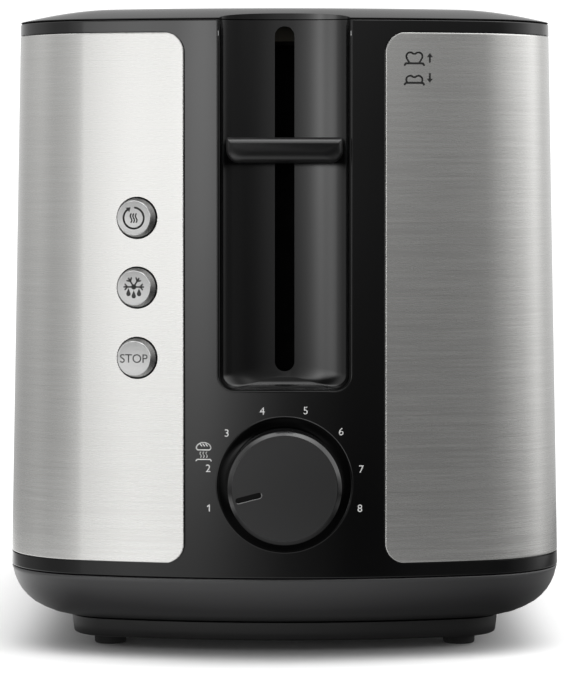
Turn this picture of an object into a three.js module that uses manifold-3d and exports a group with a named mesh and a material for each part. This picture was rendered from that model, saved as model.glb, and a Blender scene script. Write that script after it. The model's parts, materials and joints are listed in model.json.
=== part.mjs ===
// Pop-up toaster: two side-by-side bread slots, controls on one end, brushed steel wraps.
// Millimetres, +Z up. The control end faces -Y ("front"), +X is its right-hand side and
// z = 0 is the surface that the toaster stands on.
import * as THREE from 'three';
import { mergeVertices } from 'three/addons/utils/BufferGeometryUtils.js';
import Module from 'manifold-3d';

const wasm = await Module();
wasm.setup();

// ---------------------------------------------------------------- driving dimensions
// Body outline, measured at the lower edge of the steel.
const bodyWidth = 181.6;
const bodyLength = 300;
const endRadius = 210;
const cornerRadius = 37;
const draftAngle = 1.2;
const endFacetTurn = 3.7; // degrees of the bowed ends that one flat facet covers, at most

// Heights.
const plinthBottomZ = 4;
const baseBottomZ = 10.2;
const baseSeamZ = 26.9;
const steelBottomZ = 31.6;
const coverSeamZ = 205.4;
const upperBand = 4.1;
const coverRise = 5.4;
const coverShoulder = 30;

// Skins and running clearances.
const gap = 0.3;
const steelThickness = 0.9;
const panelWall = 2.4;
const sheet = 1.2;
const baseWall = 2.5;

// Front panel: the black strip between the wraps, the dial and the buttons.
const stripHalfWidth = 32.2;
const stripCorner = 6.4;
const dialZ = 57;
const dishDepth = 1.9;
const dialFaceRadius = 17.15;
const dialBackRadius = 18.15;
const dishMargin = 3.45;
const dialReach = 13;
const dialShaftRadius = 3;
const pointerAngle = 194.6;
const pointerInner = 8.4;
const pointerOuter = 15.1;
const pointerHalfWidth = 0.95;
const buttonX = 47.3;
const buttonZs = [142.1, 119.8, 97.3];
const buttonRadius = 6.4;
const buttonTaper = 0.65;
const buttonClearance = 0.4;
const collarWall = 1.6;
const collarDepth = 6.5;
const buttonReach = 4.4;
const buttonTravel = 1.5;

// Lever and its channel.
const channelHalfWidth = 21.4;
const channelCorner = 5.3;
const channelDepth = 7;
const channelFillet = 5;
const channelRim = 0.5;
const channelWall = 2.3;
const dialToChannel = 8.2;
const slotHalfWidth = 3.15;
const slotAboveChannel = 6.1;
const leverAboveChannel = 76.8;
const leverWidth = 36.9;
const leverHeight = 8.2;
const leverReach = 10;
const leverDown = 65;
const leverUp = 30;
const stemWidth = 3.2;
const stemHeight = 7;

// Oven: the space between the two chassis plates.
const frontBay = 78;
const rearBay = 54;
const slotEndMargin = 10;
const slotCentreX = 30;
const slotWidth = 34;
const guideOutset = 1;
const guideWire = 1.6;
const guideRodRadius = 1.1;
const guideHingeZ = 42;
const guideTopDrop = 17;
const guideWires = 8;
const innerBoardX = 3.6;
const outerBoardX = 56.4;
const boardThickness = 0.8;
const ribbonThickness = 0.4;
const ribbonWidth = 2;
const ribbonRuns = 8;
const reflectorX = 62;
const rackHalfWidth = 9;
const rackHeight = 8;
const rackRibs = 7;

// Carriage, spring and magnet.
const guideShaftX = 16;
const guideShaftRadius = 3;
const guideShaftSetback = 22;
const flangeZ = 20;
const flangeReach = 32;
const springX = 27;
const springRadius = 3.5;
const magnetX = -15;
const magnetHeight = 18.5;

// Controls inside the front bay.
const controlBoardSetback = 22;
const controlBoardThickness = 1.6;
const switchDepth = 3.4;
const switchHalf = 3.1;
const potDepth = 9;
const potHalf = 8.5;
const terminalHalf = 14;
const terminalDepth = 12;
const leadX = -73;
const leadZs = [60, 70];
const leadRadius = 1.5;

// Crumb tray, gland, feet and bun rack.
const trayHalfWidth = 52;
const trayHeight = 10;
const trayLip = 7;
const glandZ = 48;
const glandRadius = 7;
const glandBore = 3.6;
const glandProud = 3;
const footX = 58.2;
const footInset = 45;
const footRadius = 5.25;
const plinthInset = 19.9;
const plinthRim = 22;
const bunWireRadius = 1.4;
const bunPivotX = 51.5;
const bunReach = 18.5;
const bunTilt = 3.8;

// ---------------------------------------------------------------- derived places
const halfWidth = bodyWidth / 2;
const halfLength = bodyLength / 2;
const cornerX = halfWidth - cornerRadius;
const endCentreY = halfLength - endRadius;
const cornerY = endCentreY + Math.sqrt((endRadius - cornerRadius) ** 2 - cornerX ** 2);
const tangentAngle = Math.asin(cornerX / (endRadius - cornerRadius));
const endSteps = Math.ceil(2 * THREE.MathUtils.radToDeg(tangentAngle) / endFacetTurn);
const draft = Math.tan(THREE.MathUtils.degToRad(draftAngle));
const steelTopZ = coverSeamZ - upperBand;
const crownZ = coverSeamZ + gap / 2 + coverRise;
const panelInset = steelThickness + gap + panelWall;
const splitY = cornerY - 4.4;

const buttonFaceRadius = buttonRadius - buttonTaper;
const collarRadius = buttonRadius + collarWall;
const dishRadius = dialBackRadius + dishMargin;
const dishTopZ = dialZ + dishRadius;
const channelBottomZ = dishTopZ + dialToChannel;
const leverZ = channelBottomZ + leverAboveChannel;
const stemBottomZ = leverZ - stemHeight / 2;
const chassisFrontY = -halfLength + frontBay;
const chassisRearY = halfLength - rearBay;
const ovenFrontY = chassisFrontY + sheet;
const slotFrontY = ovenFrontY + slotEndMargin;
const slotRearY = chassisRearY - slotEndMargin;
const chassisTopZ = coverSeamZ - 5.4;
const rackTopZ = leverZ - 59.6;
const bracketY = chassisFrontY - 12;
const bracketBottomZ = rackTopZ - 14;
const bracketTopZ = rackTopZ + 12;
const guideShaftY = chassisFrontY - guideShaftSetback;
const magnetTopZ = flangeZ + sheet + gap + magnetHeight;
const latchZ = magnetTopZ + leverDown + gap;
const controlBoardY = -halfLength + controlBoardSetback;
const trayFloorZ = baseBottomZ + baseWall + gap;
const trayFrontY = ovenFrontY + 1.5;
const trayRearY = halfLength - 14;
const bunRearY = slotRearY - 12;
const bunFrontY = slotFrontY + 12;

// The overall length is centred on the origin: the dial reaches out in front, the tray at the rear.
const frontReach = halfLength + dialReach - inset(dialZ);
const rearReach = halfLength + trayLip;
const bodyShiftY = (frontReach - rearReach) / 2;

// ---------------------------------------------------------------- finishes
const finishes = {
  brushedSteel: { color: 0xcdccc8, roughness: 0.34, metalness: 1 },
  glossBlack: { color: 0x121314, roughness: 0.16, metalness: 0 },
  satinBlack: { color: 0x1d1f20, roughness: 0.42, metalness: 0 },
  darkGrey: { color: 0x3b3d3e, roughness: 0.4, metalness: 0 },
  chrome: { color: 0xd9dadb, roughness: 0.12, metalness: 1 },
  rubber: { color: 0x1a1a1a, roughness: 0.9, metalness: 0 },
  zinc: { color: 0xb4b8bb, roughness: 0.38, metalness: 1 },
  mica: { color: 0xcfc3a6, roughness: 0.6, metalness: 0 },
  ribbon: { color: 0x6e6a66, roughness: 0.5, metalness: 1 },
  copper: { color: 0xb5683a, roughness: 0.35, metalness: 1 },
  iron: { color: 0x5a5c5e, roughness: 0.5, metalness: 1 },
  boardGreen: { color: 0x1f5a3a, roughness: 0.45, metalness: 0 },
  cream: { color: 0xe6dfcb, roughness: 0.5, metalness: 0 },
  brown: { color: 0x6a3a22, roughness: 0.6, metalness: 0 },
  blue: { color: 0x23477a, roughness: 0.6, metalness: 0 },
};

// ---------------------------------------------------------------- solid helpers
function signedVolume(positions, triangles) {
  const a = new THREE.Vector3();
  const b = new THREE.Vector3();
  const c = new THREE.Vector3();
  let total = 0;
  for (let i = 0; i < triangles.length; i += 3) {
    a.fromArray(positions, triangles[i] * 3);
    b.fromArray(positions, triangles[i + 1] * 3);
    c.fromArray(positions, triangles[i + 2] * 3);
    total += a.dot(b.cross(c));
  }
  return total;
}

// A three.js geometry as a manifold solid, with its shared corners merged and faces outwards.
function solid(geometry) {
  const plain = geometry.clone();
  plain.deleteAttribute('normal');
  plain.deleteAttribute('uv');
  const merged = mergeVertices(plain, 1e-4);
  const positions = merged.attributes.position.array;
  const triangles = [];
  for (let i = 0; i < merged.index.count; i += 3) {
    const [a, b, c] = [merged.index.getX(i), merged.index.getX(i + 1), merged.index.getX(i + 2)];
    if (a !== b && b !== c && c !== a) triangles.push(a, b, c);
  }
  if (signedVolume(positions, triangles) < 0) triangles.reverse();
  return new wasm.Manifold(new wasm.Mesh({
    numProp: 3,
    vertProperties: new Float32Array(positions),
    triVerts: new Uint32Array(triangles),
  }));
}

function join(...solids) {
  return solids.reduce((sum, item) => sum.add(item));
}

function cut(body, ...tools) {
  return tools.reduce((rest, tool) => rest.subtract(tool), body);
}

function box(x0, x1, y0, y1, z0, z1) {
  const geometry = new THREE.BoxGeometry(x1 - x0, y1 - y0, z1 - z0);
  geometry.translate((x0 + x1) / 2, (y0 + y1) / 2, (z0 + z1) / 2);
  return solid(geometry);
}

function rod(radius, from, to, sides = 16) {
  const start = new THREE.Vector3(...from);
  const along = new THREE.Vector3(...to).sub(start);
  const geometry = new THREE.CylinderGeometry(radius, radius, along.length(), sides);
  const turn = new THREE.Quaternion().setFromUnitVectors(
    new THREE.Vector3(0, 1, 0),
    along.clone().normalize(),
  );
  geometry.applyQuaternion(turn);
  geometry.translate(...start.addScaledVector(along, 0.5).toArray());
  return solid(geometry);
}

// Turned about the Y axis: pairs of radius and y, starting and ending on the axis.
function turned(profile, segments, z = 0) {
  const points = profile.map(([r, y]) => new THREE.Vector2(r, y));
  return solid(new THREE.LatheGeometry(points, segments).translate(0, 0, z));
}

// An outline drawn in X and Z, carried along Y.
function prism(shape, y0, y1, curveSteps = 5) {
  const options = { depth: y1 - y0, bevelEnabled: false, curveSegments: curveSteps };
  const geometry = new THREE.ExtrudeGeometry(shape, options);
  geometry.rotateX(Math.PI / 2);
  geometry.translate(0, y1, 0);
  return solid(geometry);
}

// Rectangle in X and Z whose four corner radii are given from bottom left, counter-clockwise.
function roundedRectangle(x0, x1, z0, z1, [bottomLeft, bottomRight, topRight, topLeft]) {
  const shape = new THREE.Shape();
  shape.moveTo(x0 + bottomLeft, z0);
  shape.lineTo(x1 - bottomRight, z0);
  shape.absarc(x1 - bottomRight, z0 + bottomRight, bottomRight, -Math.PI / 2, 0, false);
  shape.lineTo(x1, z1 - topRight);
  shape.absarc(x1 - topRight, z1 - topRight, topRight, 0, Math.PI / 2, false);
  shape.lineTo(x0 + topLeft, z1);
  shape.absarc(x0 + topLeft, z1 - topLeft, topLeft, Math.PI / 2, Math.PI, false);
  shape.lineTo(x0, z0 + bottomLeft);
  shape.absarc(x0 + bottomLeft, z0 + bottomLeft, bottomLeft, Math.PI, Math.PI * 1.5, false);
  return shape;
}

// How far the drafted side has leaned in at a height, from its place at the steel's lower edge.
function inset(z) {
  return (z - steelBottomZ) * draft;
}

// Plan outline of the body, moved inwards by an amount: bowed ends, round corners, straight sides.
function planOutline(inwards, cornerSteps = 7) {
  const points = [];
  const arc = (x, y, radius, from, to, first, last, steps) => {
    for (let i = first; i <= last; i += 1) {
      const angle = from + (to - from) * i / steps;
      const reach = radius - inwards;
      points.push([x + reach * Math.cos(angle), y + reach * Math.sin(angle)]);
    }
  };
  const quarter = Math.PI / 2;
  const t = tangentAngle;
  arc(0, -endCentreY, endRadius, -quarter - t, -quarter + t, 0, endSteps, endSteps);
  arc(cornerX, -cornerY, cornerRadius, -quarter + t, 0, 1, cornerSteps, cornerSteps);
  arc(cornerX, cornerY, cornerRadius, 0, quarter - t, 0, cornerSteps, cornerSteps);
  arc(0, endCentreY, endRadius, quarter - t, quarter + t, 1, endSteps, endSteps);
  arc(-cornerX, cornerY, cornerRadius, quarter + t, 2 * quarter, 1, cornerSteps, cornerSteps);
  arc(-cornerX, -cornerY, cornerRadius, 2 * quarter, 3 * quarter - t, 0, cornerSteps - 1, cornerSteps);
  return points;
}

// Solid through rings of equally many points, closed at both ends by flat caps.
function ringSolid(rings) {
  const count = rings[0].length;
  const index = [];
  for (let level = 0; level < rings.length - 1; level += 1) {
    for (let i = 0; i < count; i += 1) {
      const a = level * count + i;
      const b = level * count + (i + 1) % count;
      index.push(a, b, b + count, a, b + count, a + count);
    }
  }
  const top = (rings.length - 1) * count;
  for (let i = 1; i < count - 1; i += 1) {
    index.push(0, i + 1, i);
    index.push(top, top + i, top + i + 1);
  }
  const geometry = new THREE.BufferGeometry();
  geometry.setAttribute('position', new THREE.Float32BufferAttribute(rings.flat(2), 3));
  geometry.setIndex(index);
  return solid(geometry);
}

// Solid through plan outlines at rising heights, each level a pair of height and inward move.
function loft(levels) {
  return ringSolid(levels.map(([z, inwards]) => planOutline(inwards).map(([x, y]) => [x, y, z])));
}

// Body-shaped block between two heights, moved inwards from the drafted outer face.
function block(inwards, z0, z1) {
  return loft([[z0, inset(z0) + inwards], [z1, inset(z1) + inwards]]);
}

function shell(outer, inner, z0, z1) {
  return cut(block(outer, z0, z1), block(inner, z0 - 1, z1 + 1));
}

// Y of the front face at a given x, and the angle its outward normal leans to the side.
function frontFace(x, z) {
  const lean = inset(z);
  const onBow = Math.abs(x) <= (endRadius - lean) * Math.sin(tangentAngle);
  const radius = (onBow ? endRadius : cornerRadius) - lean;
  const centreX = onBow ? 0 : Math.sign(x) * cornerX;
  const centreY = onBow ? -endCentreY : -cornerY;
  const angle = Math.asin((Math.abs(x) - Math.abs(centreX)) / radius);
  return { y: centreY - radius * Math.cos(angle), angle };
}

// ---------------------------------------------------------------- outer shell
// The opening that a steel wrap fills, as seen along Y; side is -1 or 1.
function wrapWindow(side, margin) {
  const inner = stripHalfWidth - margin;
  const outer = bodyWidth;
  const z0 = steelBottomZ - margin;
  const z1 = steelTopZ + margin;
  const r = stripCorner + margin;
  const shape = side > 0
    ? roundedRectangle(inner, outer, z0, z1, [r, 0.01, 0.01, r])
    : roundedRectangle(-outer, -inner, z0, z1, [0.01, r, r, 0.01]);
  return prism(shape, -bodyLength, bodyLength);
}

function buttonAxis(z) {
  const { y, angle } = frontFace(-buttonX, z);
  return { y, angle, inward: [Math.sin(angle), Math.cos(angle)] };
}

function alongButton(z, distance) {
  const { y, inward } = buttonAxis(z);
  return [-buttonX + inward[0] * distance, y + inward[1] * distance, z];
}

function buttonHoles(radius) {
  return buttonZs.map((z) => rod(radius, alongButton(z, -8), alongButton(z, 9), 24));
}

function steelWrap(side) {
  const wrap = shell(0, steelThickness, steelBottomZ, steelTopZ).intersect(wrapWindow(side, 0));
  return side < 0 ? cut(wrap, ...buttonHoles(buttonRadius + buttonClearance)) : wrap;
}

// Black moulded skin with shallow recesses that the steel wraps drop into.
function mouldedSkin() {
  const skin = shell(0, panelInset, baseSeamZ + gap / 2, coverSeamZ - gap / 2);
  const seat = shell(-1, steelThickness + gap, steelBottomZ - gap, steelTopZ + gap);
  const recesses = [-1, 1].map((side) => seat.intersect(wrapWindow(side, gap)));
  return cut(skin, ...recesses);
}

// Flat-floored hollow of the lever channel with rounded lower edges, leaning back with the face.
function channelHollow() {
  const levels = [[-8, 0]];
  for (let i = 0; i <= 4; i += 1) {
    const turn = Math.PI / 2 * i / 4;
    levels.push([
      channelDepth - channelFillet * (1 - Math.sin(turn)),
      channelFillet * (1 - Math.cos(turn)),
    ]);
  }
  const rings = levels.map(([depth, inwards]) => {
    const shape = channelOutline(gap + channelRim + inwards);
    const points = shape.extractPoints(6).shape.slice(0, -1);
    return points.map(({ x, y: z }) => [x, frontFace(0, z).y + depth, z]).reverse();
  });
  return ringSolid(rings);
}

function channelOutline(margin) {
  const half = channelHalfWidth - margin;
  const corner = Math.max(channelCorner - margin, 0.8);
  const z0 = channelBottomZ + margin;
  return roundedRectangle(-half, half, z0, crownZ + 10, [corner, corner, 0.01, 0.01]);
}

// Posts on the front panel that carry the control board.
function boardPosts() {
  const places = [[-60, dialZ + 1], [-60, dialZ + 92], [-27, dialZ + 92], [21, dialZ + 8]];
  return places.map(([x, z]) => {
    const { y } = frontFace(x, z);
    return rod(2.6, [x, y + panelInset / 2 + steelThickness, z], [x, controlBoardY - gap, z], 10);
  });
}

function frontPanel() {
  const faceY = frontFace(0, dialZ).y;
  const dish = turned([
    [0, faceY + dishDepth],
    [dishRadius - 3.2, faceY + dishDepth],
    [dishRadius, faceY + 0.1],
    [dishRadius + 1.5, faceY - 5],
    [0, faceY - 5],
  ], 44, dialZ);
  const end = mouldedSkin().intersect(box(-bodyWidth, bodyWidth, -bodyLength, -splitY - gap / 2, 0, 300));
  const panel = join(end, ...boardPosts());
  return cut(
    panel,
    prism(channelOutline(0), -bodyLength, -halfLength + channelDepth + 6),
    dish,
    rod(dialShaftRadius + 0.8, [0, -bodyLength, dialZ], [0, controlBoardY, dialZ], 16),
    ...buttonHoles(collarRadius + gap),
  );
}

function rearPanel() {
  const end = mouldedSkin().intersect(box(-bodyWidth, bodyWidth, splitY + gap / 2, bodyLength, 0, 300));
  return cut(end, rod(glandRadius - 2 + gap, [0, halfLength - 20, glandZ], [0, halfLength + 20, glandZ], 20));
}

// Side liner: shows as the narrow bands above and below the steel, and backs the wrap between them.
function sideLiner(side) {
  const [x0, x1] = side > 0 ? [0, bodyWidth] : [-bodyWidth, 0];
  const reach = splitY - gap / 2;
  return mouldedSkin().intersect(box(x0, x1, -reach, reach, 0, 300));
}

function coverLevels() {
  const edge = inset(coverSeamZ);
  const steps = 7;
  const levels = [[coverSeamZ + gap / 2, edge]];
  for (let i = 1; i <= steps; i += 1) {
    const t = (i / steps) ** 1.5;
    const rise = coverRise * (1 - (1 - t) ** 1.7);
    levels.push([coverSeamZ + gap / 2 + rise, edge + coverShoulder * t]);
  }
  return levels;
}

// Closed wire frame of the bun rack, folded flat; it turns about its bar at bunPivotX.
function bunWire(side, sides = 8) {
  const radius = bunWireRadius;
  const tilt = THREE.MathUtils.degToRad(bunTilt);
  const z0 = crownZ - bunWireRadius - gap;
  const x1 = side * (bunPivotX + bunReach * Math.cos(tilt));
  const x0 = side * bunPivotX;
  const z1 = z0 - bunReach * Math.sin(tilt);
  const leg = (y) => rod(radius, [x0, y, z0], [x1, y, z1], sides);
  const bar = (x, z) => rod(radius, [x, bunFrontY, z], [x, bunRearY, z], sides);
  const knuckle = (x, y, z) => {
    const ball = new THREE.SphereGeometry(radius, sides, 6);
    ball.translate(x, y, z);
    return solid(ball);
  };
  return join(
    leg(bunFrontY), leg(bunRearY), bar(x0, z0), bar(x1, z1),
    knuckle(x0, bunFrontY, z0), knuckle(x0, bunRearY, z0),
    knuckle(x1, bunFrontY, z1), knuckle(x1, bunRearY, z1),
  );
}

// Groove in the cover that the folded frame lies in.
function bunGroove(side) {
  const wide = bunWireRadius + gap;
  const tilt = THREE.MathUtils.degToRad(bunTilt);
  const z0 = crownZ - bunWireRadius - gap;
  const z1 = z0 - bunReach * Math.sin(tilt);
  const x0 = bunPivotX;
  const x1 = bunPivotX + bunReach * Math.cos(tilt);
  const shape = new THREE.Shape();
  shape.moveTo(side * (x0 - wide), z0 - wide);
  shape.lineTo(side * (x1 + wide), z1 - wide);
  shape.lineTo(side * (x1 + wide), crownZ + 5);
  shape.lineTo(side * (x0 - wide), crownZ + 5);
  shape.closePath();
  const well = prism(shape, bunFrontY - wide, bunRearY + wide);
  const edges = [side * (x0 + wide), side * (x1 - wide)];
  const island = box(Math.min(...edges), Math.max(...edges), bunFrontY + wide, bunRearY - wide, 0, 300);
  return cut(well, island);
}

function breadSlot(side) {
  const x = side * slotCentreX;
  return box(x - slotWidth / 2, x + slotWidth / 2, slotFrontY, slotRearY, 0, 300);
}

function topCover() {
  const edgeGap = cut(channelHollow(), box(-100, 100, -bodyLength, bodyLength, 0, coverSeamZ - 5));
  return cut(
    loft(coverLevels()),
    breadSlot(-1), breadSlot(1),
    bunGroove(-1), bunGroove(1),
    edgeGap,
  );
}

function leverChannel() {
  const backY = -halfLength + channelDepth + channelWall + inset(coverSeamZ);
  const top = coverSeamZ - gap / 2;
  const body = prism(channelOutline(gap), -bodyLength, backY).intersect(block(0, channelBottomZ, top));
  const slotShape = roundedRectangle(
    -slotHalfWidth, slotHalfWidth,
    channelBottomZ + slotAboveChannel, coverSeamZ - 2,
    [3, 3, 3, 3],
  );
  return cut(body, channelHollow(), prism(slotShape, -bodyLength, 0));
}

// ---------------------------------------------------------------- base
const bowl = [[0, 23.8], [0.7, 16.8], [3.1, 9.8], [6.6, 4.8], [10.6, 1.8]];

function bowlLevels(inwards, upwards) {
  const levels = bowl.map(([rise, inside]) => [baseBottomZ + rise + upwards, inside + inwards]);
  return [...levels, [baseSeamZ - gap / 2 + upwards, 0.2 + inwards]];
}

function basePan() {
  const hollow = loft([...bowlLevels(baseWall, baseWall)]);
  const trayWay = box(
    -trayHalfWidth - gap, trayHalfWidth + gap, 0, bodyLength,
    trayFloorZ - gap, trayFloorZ + trayHeight + gap,
  );
  return cut(loft(bowlLevels(0, 0)), hollow, trayWay);
}

function plinthRing() {
  const outer = loft([[plinthBottomZ, plinthInset + 0.6], [baseBottomZ - gap, plinthInset]]);
  const x = halfWidth - plinthInset - plinthRim;
  const y = halfLength - plinthInset - plinthRim - 12;
  return cut(outer, box(-x, x, -y, y, 0, 20));
}

function foot() {
  const top = plinthBottomZ - gap;
  const low = footRadius - 0.6;
  const profile = [[0, 0], [low, 0], [footRadius, 0.8], [footRadius, top], [0, top]];
  const points = profile.map(([r, z]) => new THREE.Vector2(r, z));
  return solid(new THREE.LatheGeometry(points, 20).rotateX(Math.PI / 2));
}

function crumbTray() {
  const half = trayHalfWidth;
  const outer = box(-half, half, trayFrontY, trayRearY, trayFloorZ, trayFloorZ + trayHeight);
  const inside = box(
    -half + sheet, half - sheet, trayFrontY + sheet, trayRearY - sheet,
    trayFloorZ + sheet, trayFloorZ + trayHeight + 1,
  );
  return cut(outer, inside);
}

function trayHandle() {
  const z0 = trayFloorZ + 0.1;
  const z1 = trayFloorZ + trayHeight - 0.1;
  const half = trayHalfWidth;
  const front = loft(bowlLevels(0, 0)).intersect(box(-half, half, trayRearY + gap, bodyLength, z0, z1));
  const lip = box(-18, 18, halfLength - 8, halfLength + trayLip, z1 - 3, z1);
  return join(front, lip);
}

// ---------------------------------------------------------------- oven
function chassisPlate(y, bottomZ) {
  const half = halfWidth - panelInset - inset(chassisTopZ) - gap;
  const insideBase = loft([...bowlLevels(baseWall + gap, baseWall + gap), [chassisTopZ, panelInset + gap]]);
  let plate = box(-half, half, y, y + sheet, bottomZ, chassisTopZ);
  const windowTop = rackTopZ + leverUp + 2;
  const windowBottom = rackTopZ - rackHeight - leverDown - 1.5;
  for (const side of [-1, 1]) {
    const x = side * slotCentreX;
    plate = cut(plate, box(x - 2, x + 2, y - 1, y + sheet + 1, windowBottom, windowTop));
    for (const guideX of guideXs(side)) {
      plate = cut(plate, rod(guideRodRadius + gap, [guideX, y - 1, guideHingeZ],
        [guideX, y + sheet + 1, guideHingeZ], 8));
    }
    const legX = side * (trayHalfWidth + 8);
    const leg = box(legX - 4, legX + 4, y, y + sheet, trayFloorZ, bottomZ + 2);
    plate = join(plate, leg.intersect(insideBase));
  }
  for (const z of leadZs) {
    plate = cut(plate, rod(leadRadius + 1.6, [leadX, y - 1, z], [leadX, y + sheet + 1, z], 10));
  }
  return plate;
}

function chassisFront() {
  const reach = chassisFrontY - flangeReach;
  const top = chassisTopZ - sheet;
  return join(
    chassisPlate(chassisFrontY, flangeZ),
    box(-28, 33, reach, chassisFrontY + 0.5, flangeZ, flangeZ + sheet),
    box(-28, 33, reach, chassisFrontY + 0.5, top, chassisTopZ),
  );
}

function guideXs(side) {
  const half = slotWidth / 2 + guideOutset;
  return [side * (slotCentreX - half), side * (slotCentreX + half)];
}

// Wire grid that centres the bread; its lower rod is its hinge.
function breadGuide(x) {
  const r = guideWire / 2;
  const topZ = coverSeamZ - guideTopDrop;
  const y0 = slotFrontY - 4;
  const y1 = slotRearY + 4;
  const hinge = rod(
    guideRodRadius,
    [x, chassisFrontY - 1.5, guideHingeZ],
    [x, chassisRearY + sheet + 1.5, guideHingeZ],
    8,
  );
  const wires = [];
  for (let i = 0; i < guideWires; i += 1) {
    const y = y0 + r + (y1 - y0 - 2 * r) * i / (guideWires - 1);
    wires.push(box(x - r, x + r, y - r, y + r, guideHingeZ, topZ));
  }
  return join(hinge, box(x - r, x + r, y0, y1, topZ - guideWire, topZ), ...wires);
}

function heaterBoard(x) {
  const half = boardThickness / 2;
  return box(x - half, x + half, ovenFrontY + gap, chassisRearY - gap, guideHingeZ + 4, coverSeamZ - 15);
}

// Ribbon element laid back and forth over the face of its board that looks at the bread.
function heaterRibbon(boardX, facing) {
  const y0 = slotFrontY;
  const y1 = slotRearY;
  const z0 = guideHingeZ + 10;
  const pitch = (coverSeamZ - 21 - z0) / (ribbonRuns - 1);
  const face = boardX + facing * (boardThickness / 2 + gap);
  const x0 = Math.min(face, face + facing * ribbonThickness);
  const x1 = x0 + ribbonThickness;
  const half = ribbonWidth / 2;
  const pieces = [];
  for (let i = 0; i < ribbonRuns; i += 1) {
    const z = z0 + pitch * i;
    pieces.push(box(x0, x1, y0, y1, z - half, z + half));
    if (i < ribbonRuns - 1) {
      const y = i % 2 === 0 ? y1 - ribbonWidth : y0;
      pieces.push(box(x0, x1, y, y + ribbonWidth, z, z + pitch));
    }
  }
  return join(...pieces);
}

function reflector(side) {
  const x = side * reflectorX;
  const y0 = ovenFrontY + gap;
  const y1 = chassisRearY - gap;
  const z0 = guideHingeZ - 4;
  const z1 = coverSeamZ - 9;
  const [a, b] = side > 0 ? [x, x + 5] : [x - 5, x];
  return join(
    box(x - 0.3, x + 0.3, y0, y1, z0, z1),
    box(a, b, y0, y1, z1 - 0.6, z1),
    box(a, b, y0, y1, z0, z0 + 0.6),
  );
}

// ---------------------------------------------------------------- carriage
function breadRack(side) {
  const x = side * slotCentreX;
  const spine = box(
    x - 0.8, x + 0.8, bracketY + gap, chassisRearY + sheet + 2,
    rackTopZ - rackHeight, rackTopZ,
  );
  const ribs = [];
  for (let i = 0; i < rackRibs; i += 1) {
    const y = slotFrontY + 5 + (slotRearY - slotFrontY - 10) * i / (rackRibs - 1);
    ribs.push(box(x - rackHalfWidth, x + rackHalfWidth, y - 1, y + 1, rackTopZ - 2.5, rackTopZ));
  }
  return join(spine, ...ribs);
}

function carriageBracket() {
  const y = bracketY;
  const half = slotCentreX + 5;
  const plate = box(-half, half, y - 1.6, y, bracketBottomZ, bracketTopZ);
  const riser = box(-5, 5, y - 1.6, y, bracketTopZ - 1, leverZ + stemHeight / 2 + 0.5);
  const collarY = guideShaftY - guideShaftRadius - 3;
  const collar = box(
    guideShaftX - 6, guideShaftX + 6, collarY, y - 1,
    bracketBottomZ + 2, bracketTopZ - 4,
  );
  const ear = box(springX - 6, springX + 5, guideShaftY - 4, y - 1, bracketTopZ - 5.2, bracketTopZ - 4);
  const bore = rod(
    guideShaftRadius + gap,
    [guideShaftX, guideShaftY, 0],
    [guideShaftX, guideShaftY, 300],
    14,
  );
  return cut(join(plate, riser, collar, ear), bore);
}

function guideShaft() {
  return rod(
    guideShaftRadius,
    [guideShaftX, guideShaftY, flangeZ + sheet + gap],
    [guideShaftX, guideShaftY, chassisTopZ - sheet - gap],
    14,
  );
}

function returnSpring() {
  return rod(
    springRadius,
    [springX, guideShaftY, bracketTopZ - 4 + gap],
    [springX, guideShaftY, chassisTopZ - sheet - gap],
    12,
  );
}

function leverStem() {
  const half = stemWidth / 2;
  const front = frontFace(0, leverZ).y - 1;
  return box(-half, half, front, bracketY - 1.6 - gap, stemBottomZ, stemBottomZ + stemHeight);
}

function leverKnob() {
  const half = leverWidth / 2;
  const face = frontFace(0, leverZ).y;
  const z0 = leverZ - leverHeight / 2;
  const shape = roundedRectangle(-half, half, z0, z0 + leverHeight, [3, 3, 0.8, 0.8]);
  const socket = box(
    -stemWidth / 2 - gap, stemWidth / 2 + gap, face - 1 - gap, face + 5,
    stemBottomZ - gap, stemBottomZ + stemHeight + gap,
  );
  return cut(prism(shape, face - leverReach, face), socket);
}

function latchPlate() {
  const front = bracketY - 1.6;
  return box(magnetX - 7, magnetX + 7, front - 13, front - gap, latchZ, latchZ + 1.5);
}

function magnetCore() {
  const y = bracketY - 9;
  const z0 = flangeZ + sheet + gap;
  const yoke = box(magnetX - 8, magnetX + 8, y - 4, y + 4, z0, z0 + 4);
  const limb = (x) => box(x - 2, x + 2, y - 4, y + 4, z0, magnetTopZ);
  return join(yoke, limb(magnetX - 6), limb(magnetX + 6));
}

// Coil wound on the left limb of the core.
function magnetCoil() {
  const y = bracketY - 9;
  const x = magnetX - 6;
  const z0 = flangeZ + sheet + gap + 4 + gap;
  const z1 = magnetTopZ - 2;
  const hole = 2 + gap;
  return cut(
    box(x - 6, x + 6, y - 7, y + 7, z0, z1),
    box(x - hole, x + hole, y - 4 - gap, y + 4 + gap, 0, 300),
  );
}

// ---------------------------------------------------------------- controls
function controlBoard() {
  const y0 = controlBoardY;
  const y1 = y0 + controlBoardThickness;
  return join(
    box(-68, -9, y0, y1, dialZ - 13, dialZ + 100),
    box(-68, 26, y0, y1, dialZ - 13, dialZ + 15),
  );
}

function potentiometer() {
  const back = controlBoardY - gap;
  const front = back - potDepth;
  return cut(
    box(-potHalf, potHalf, front, back, dialZ - potHalf, dialZ + potHalf),
    rod(dialShaftRadius + gap, [0, front - 1, dialZ], [0, front + potDepth / 2 + gap, dialZ], 16),
  );
}

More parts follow.
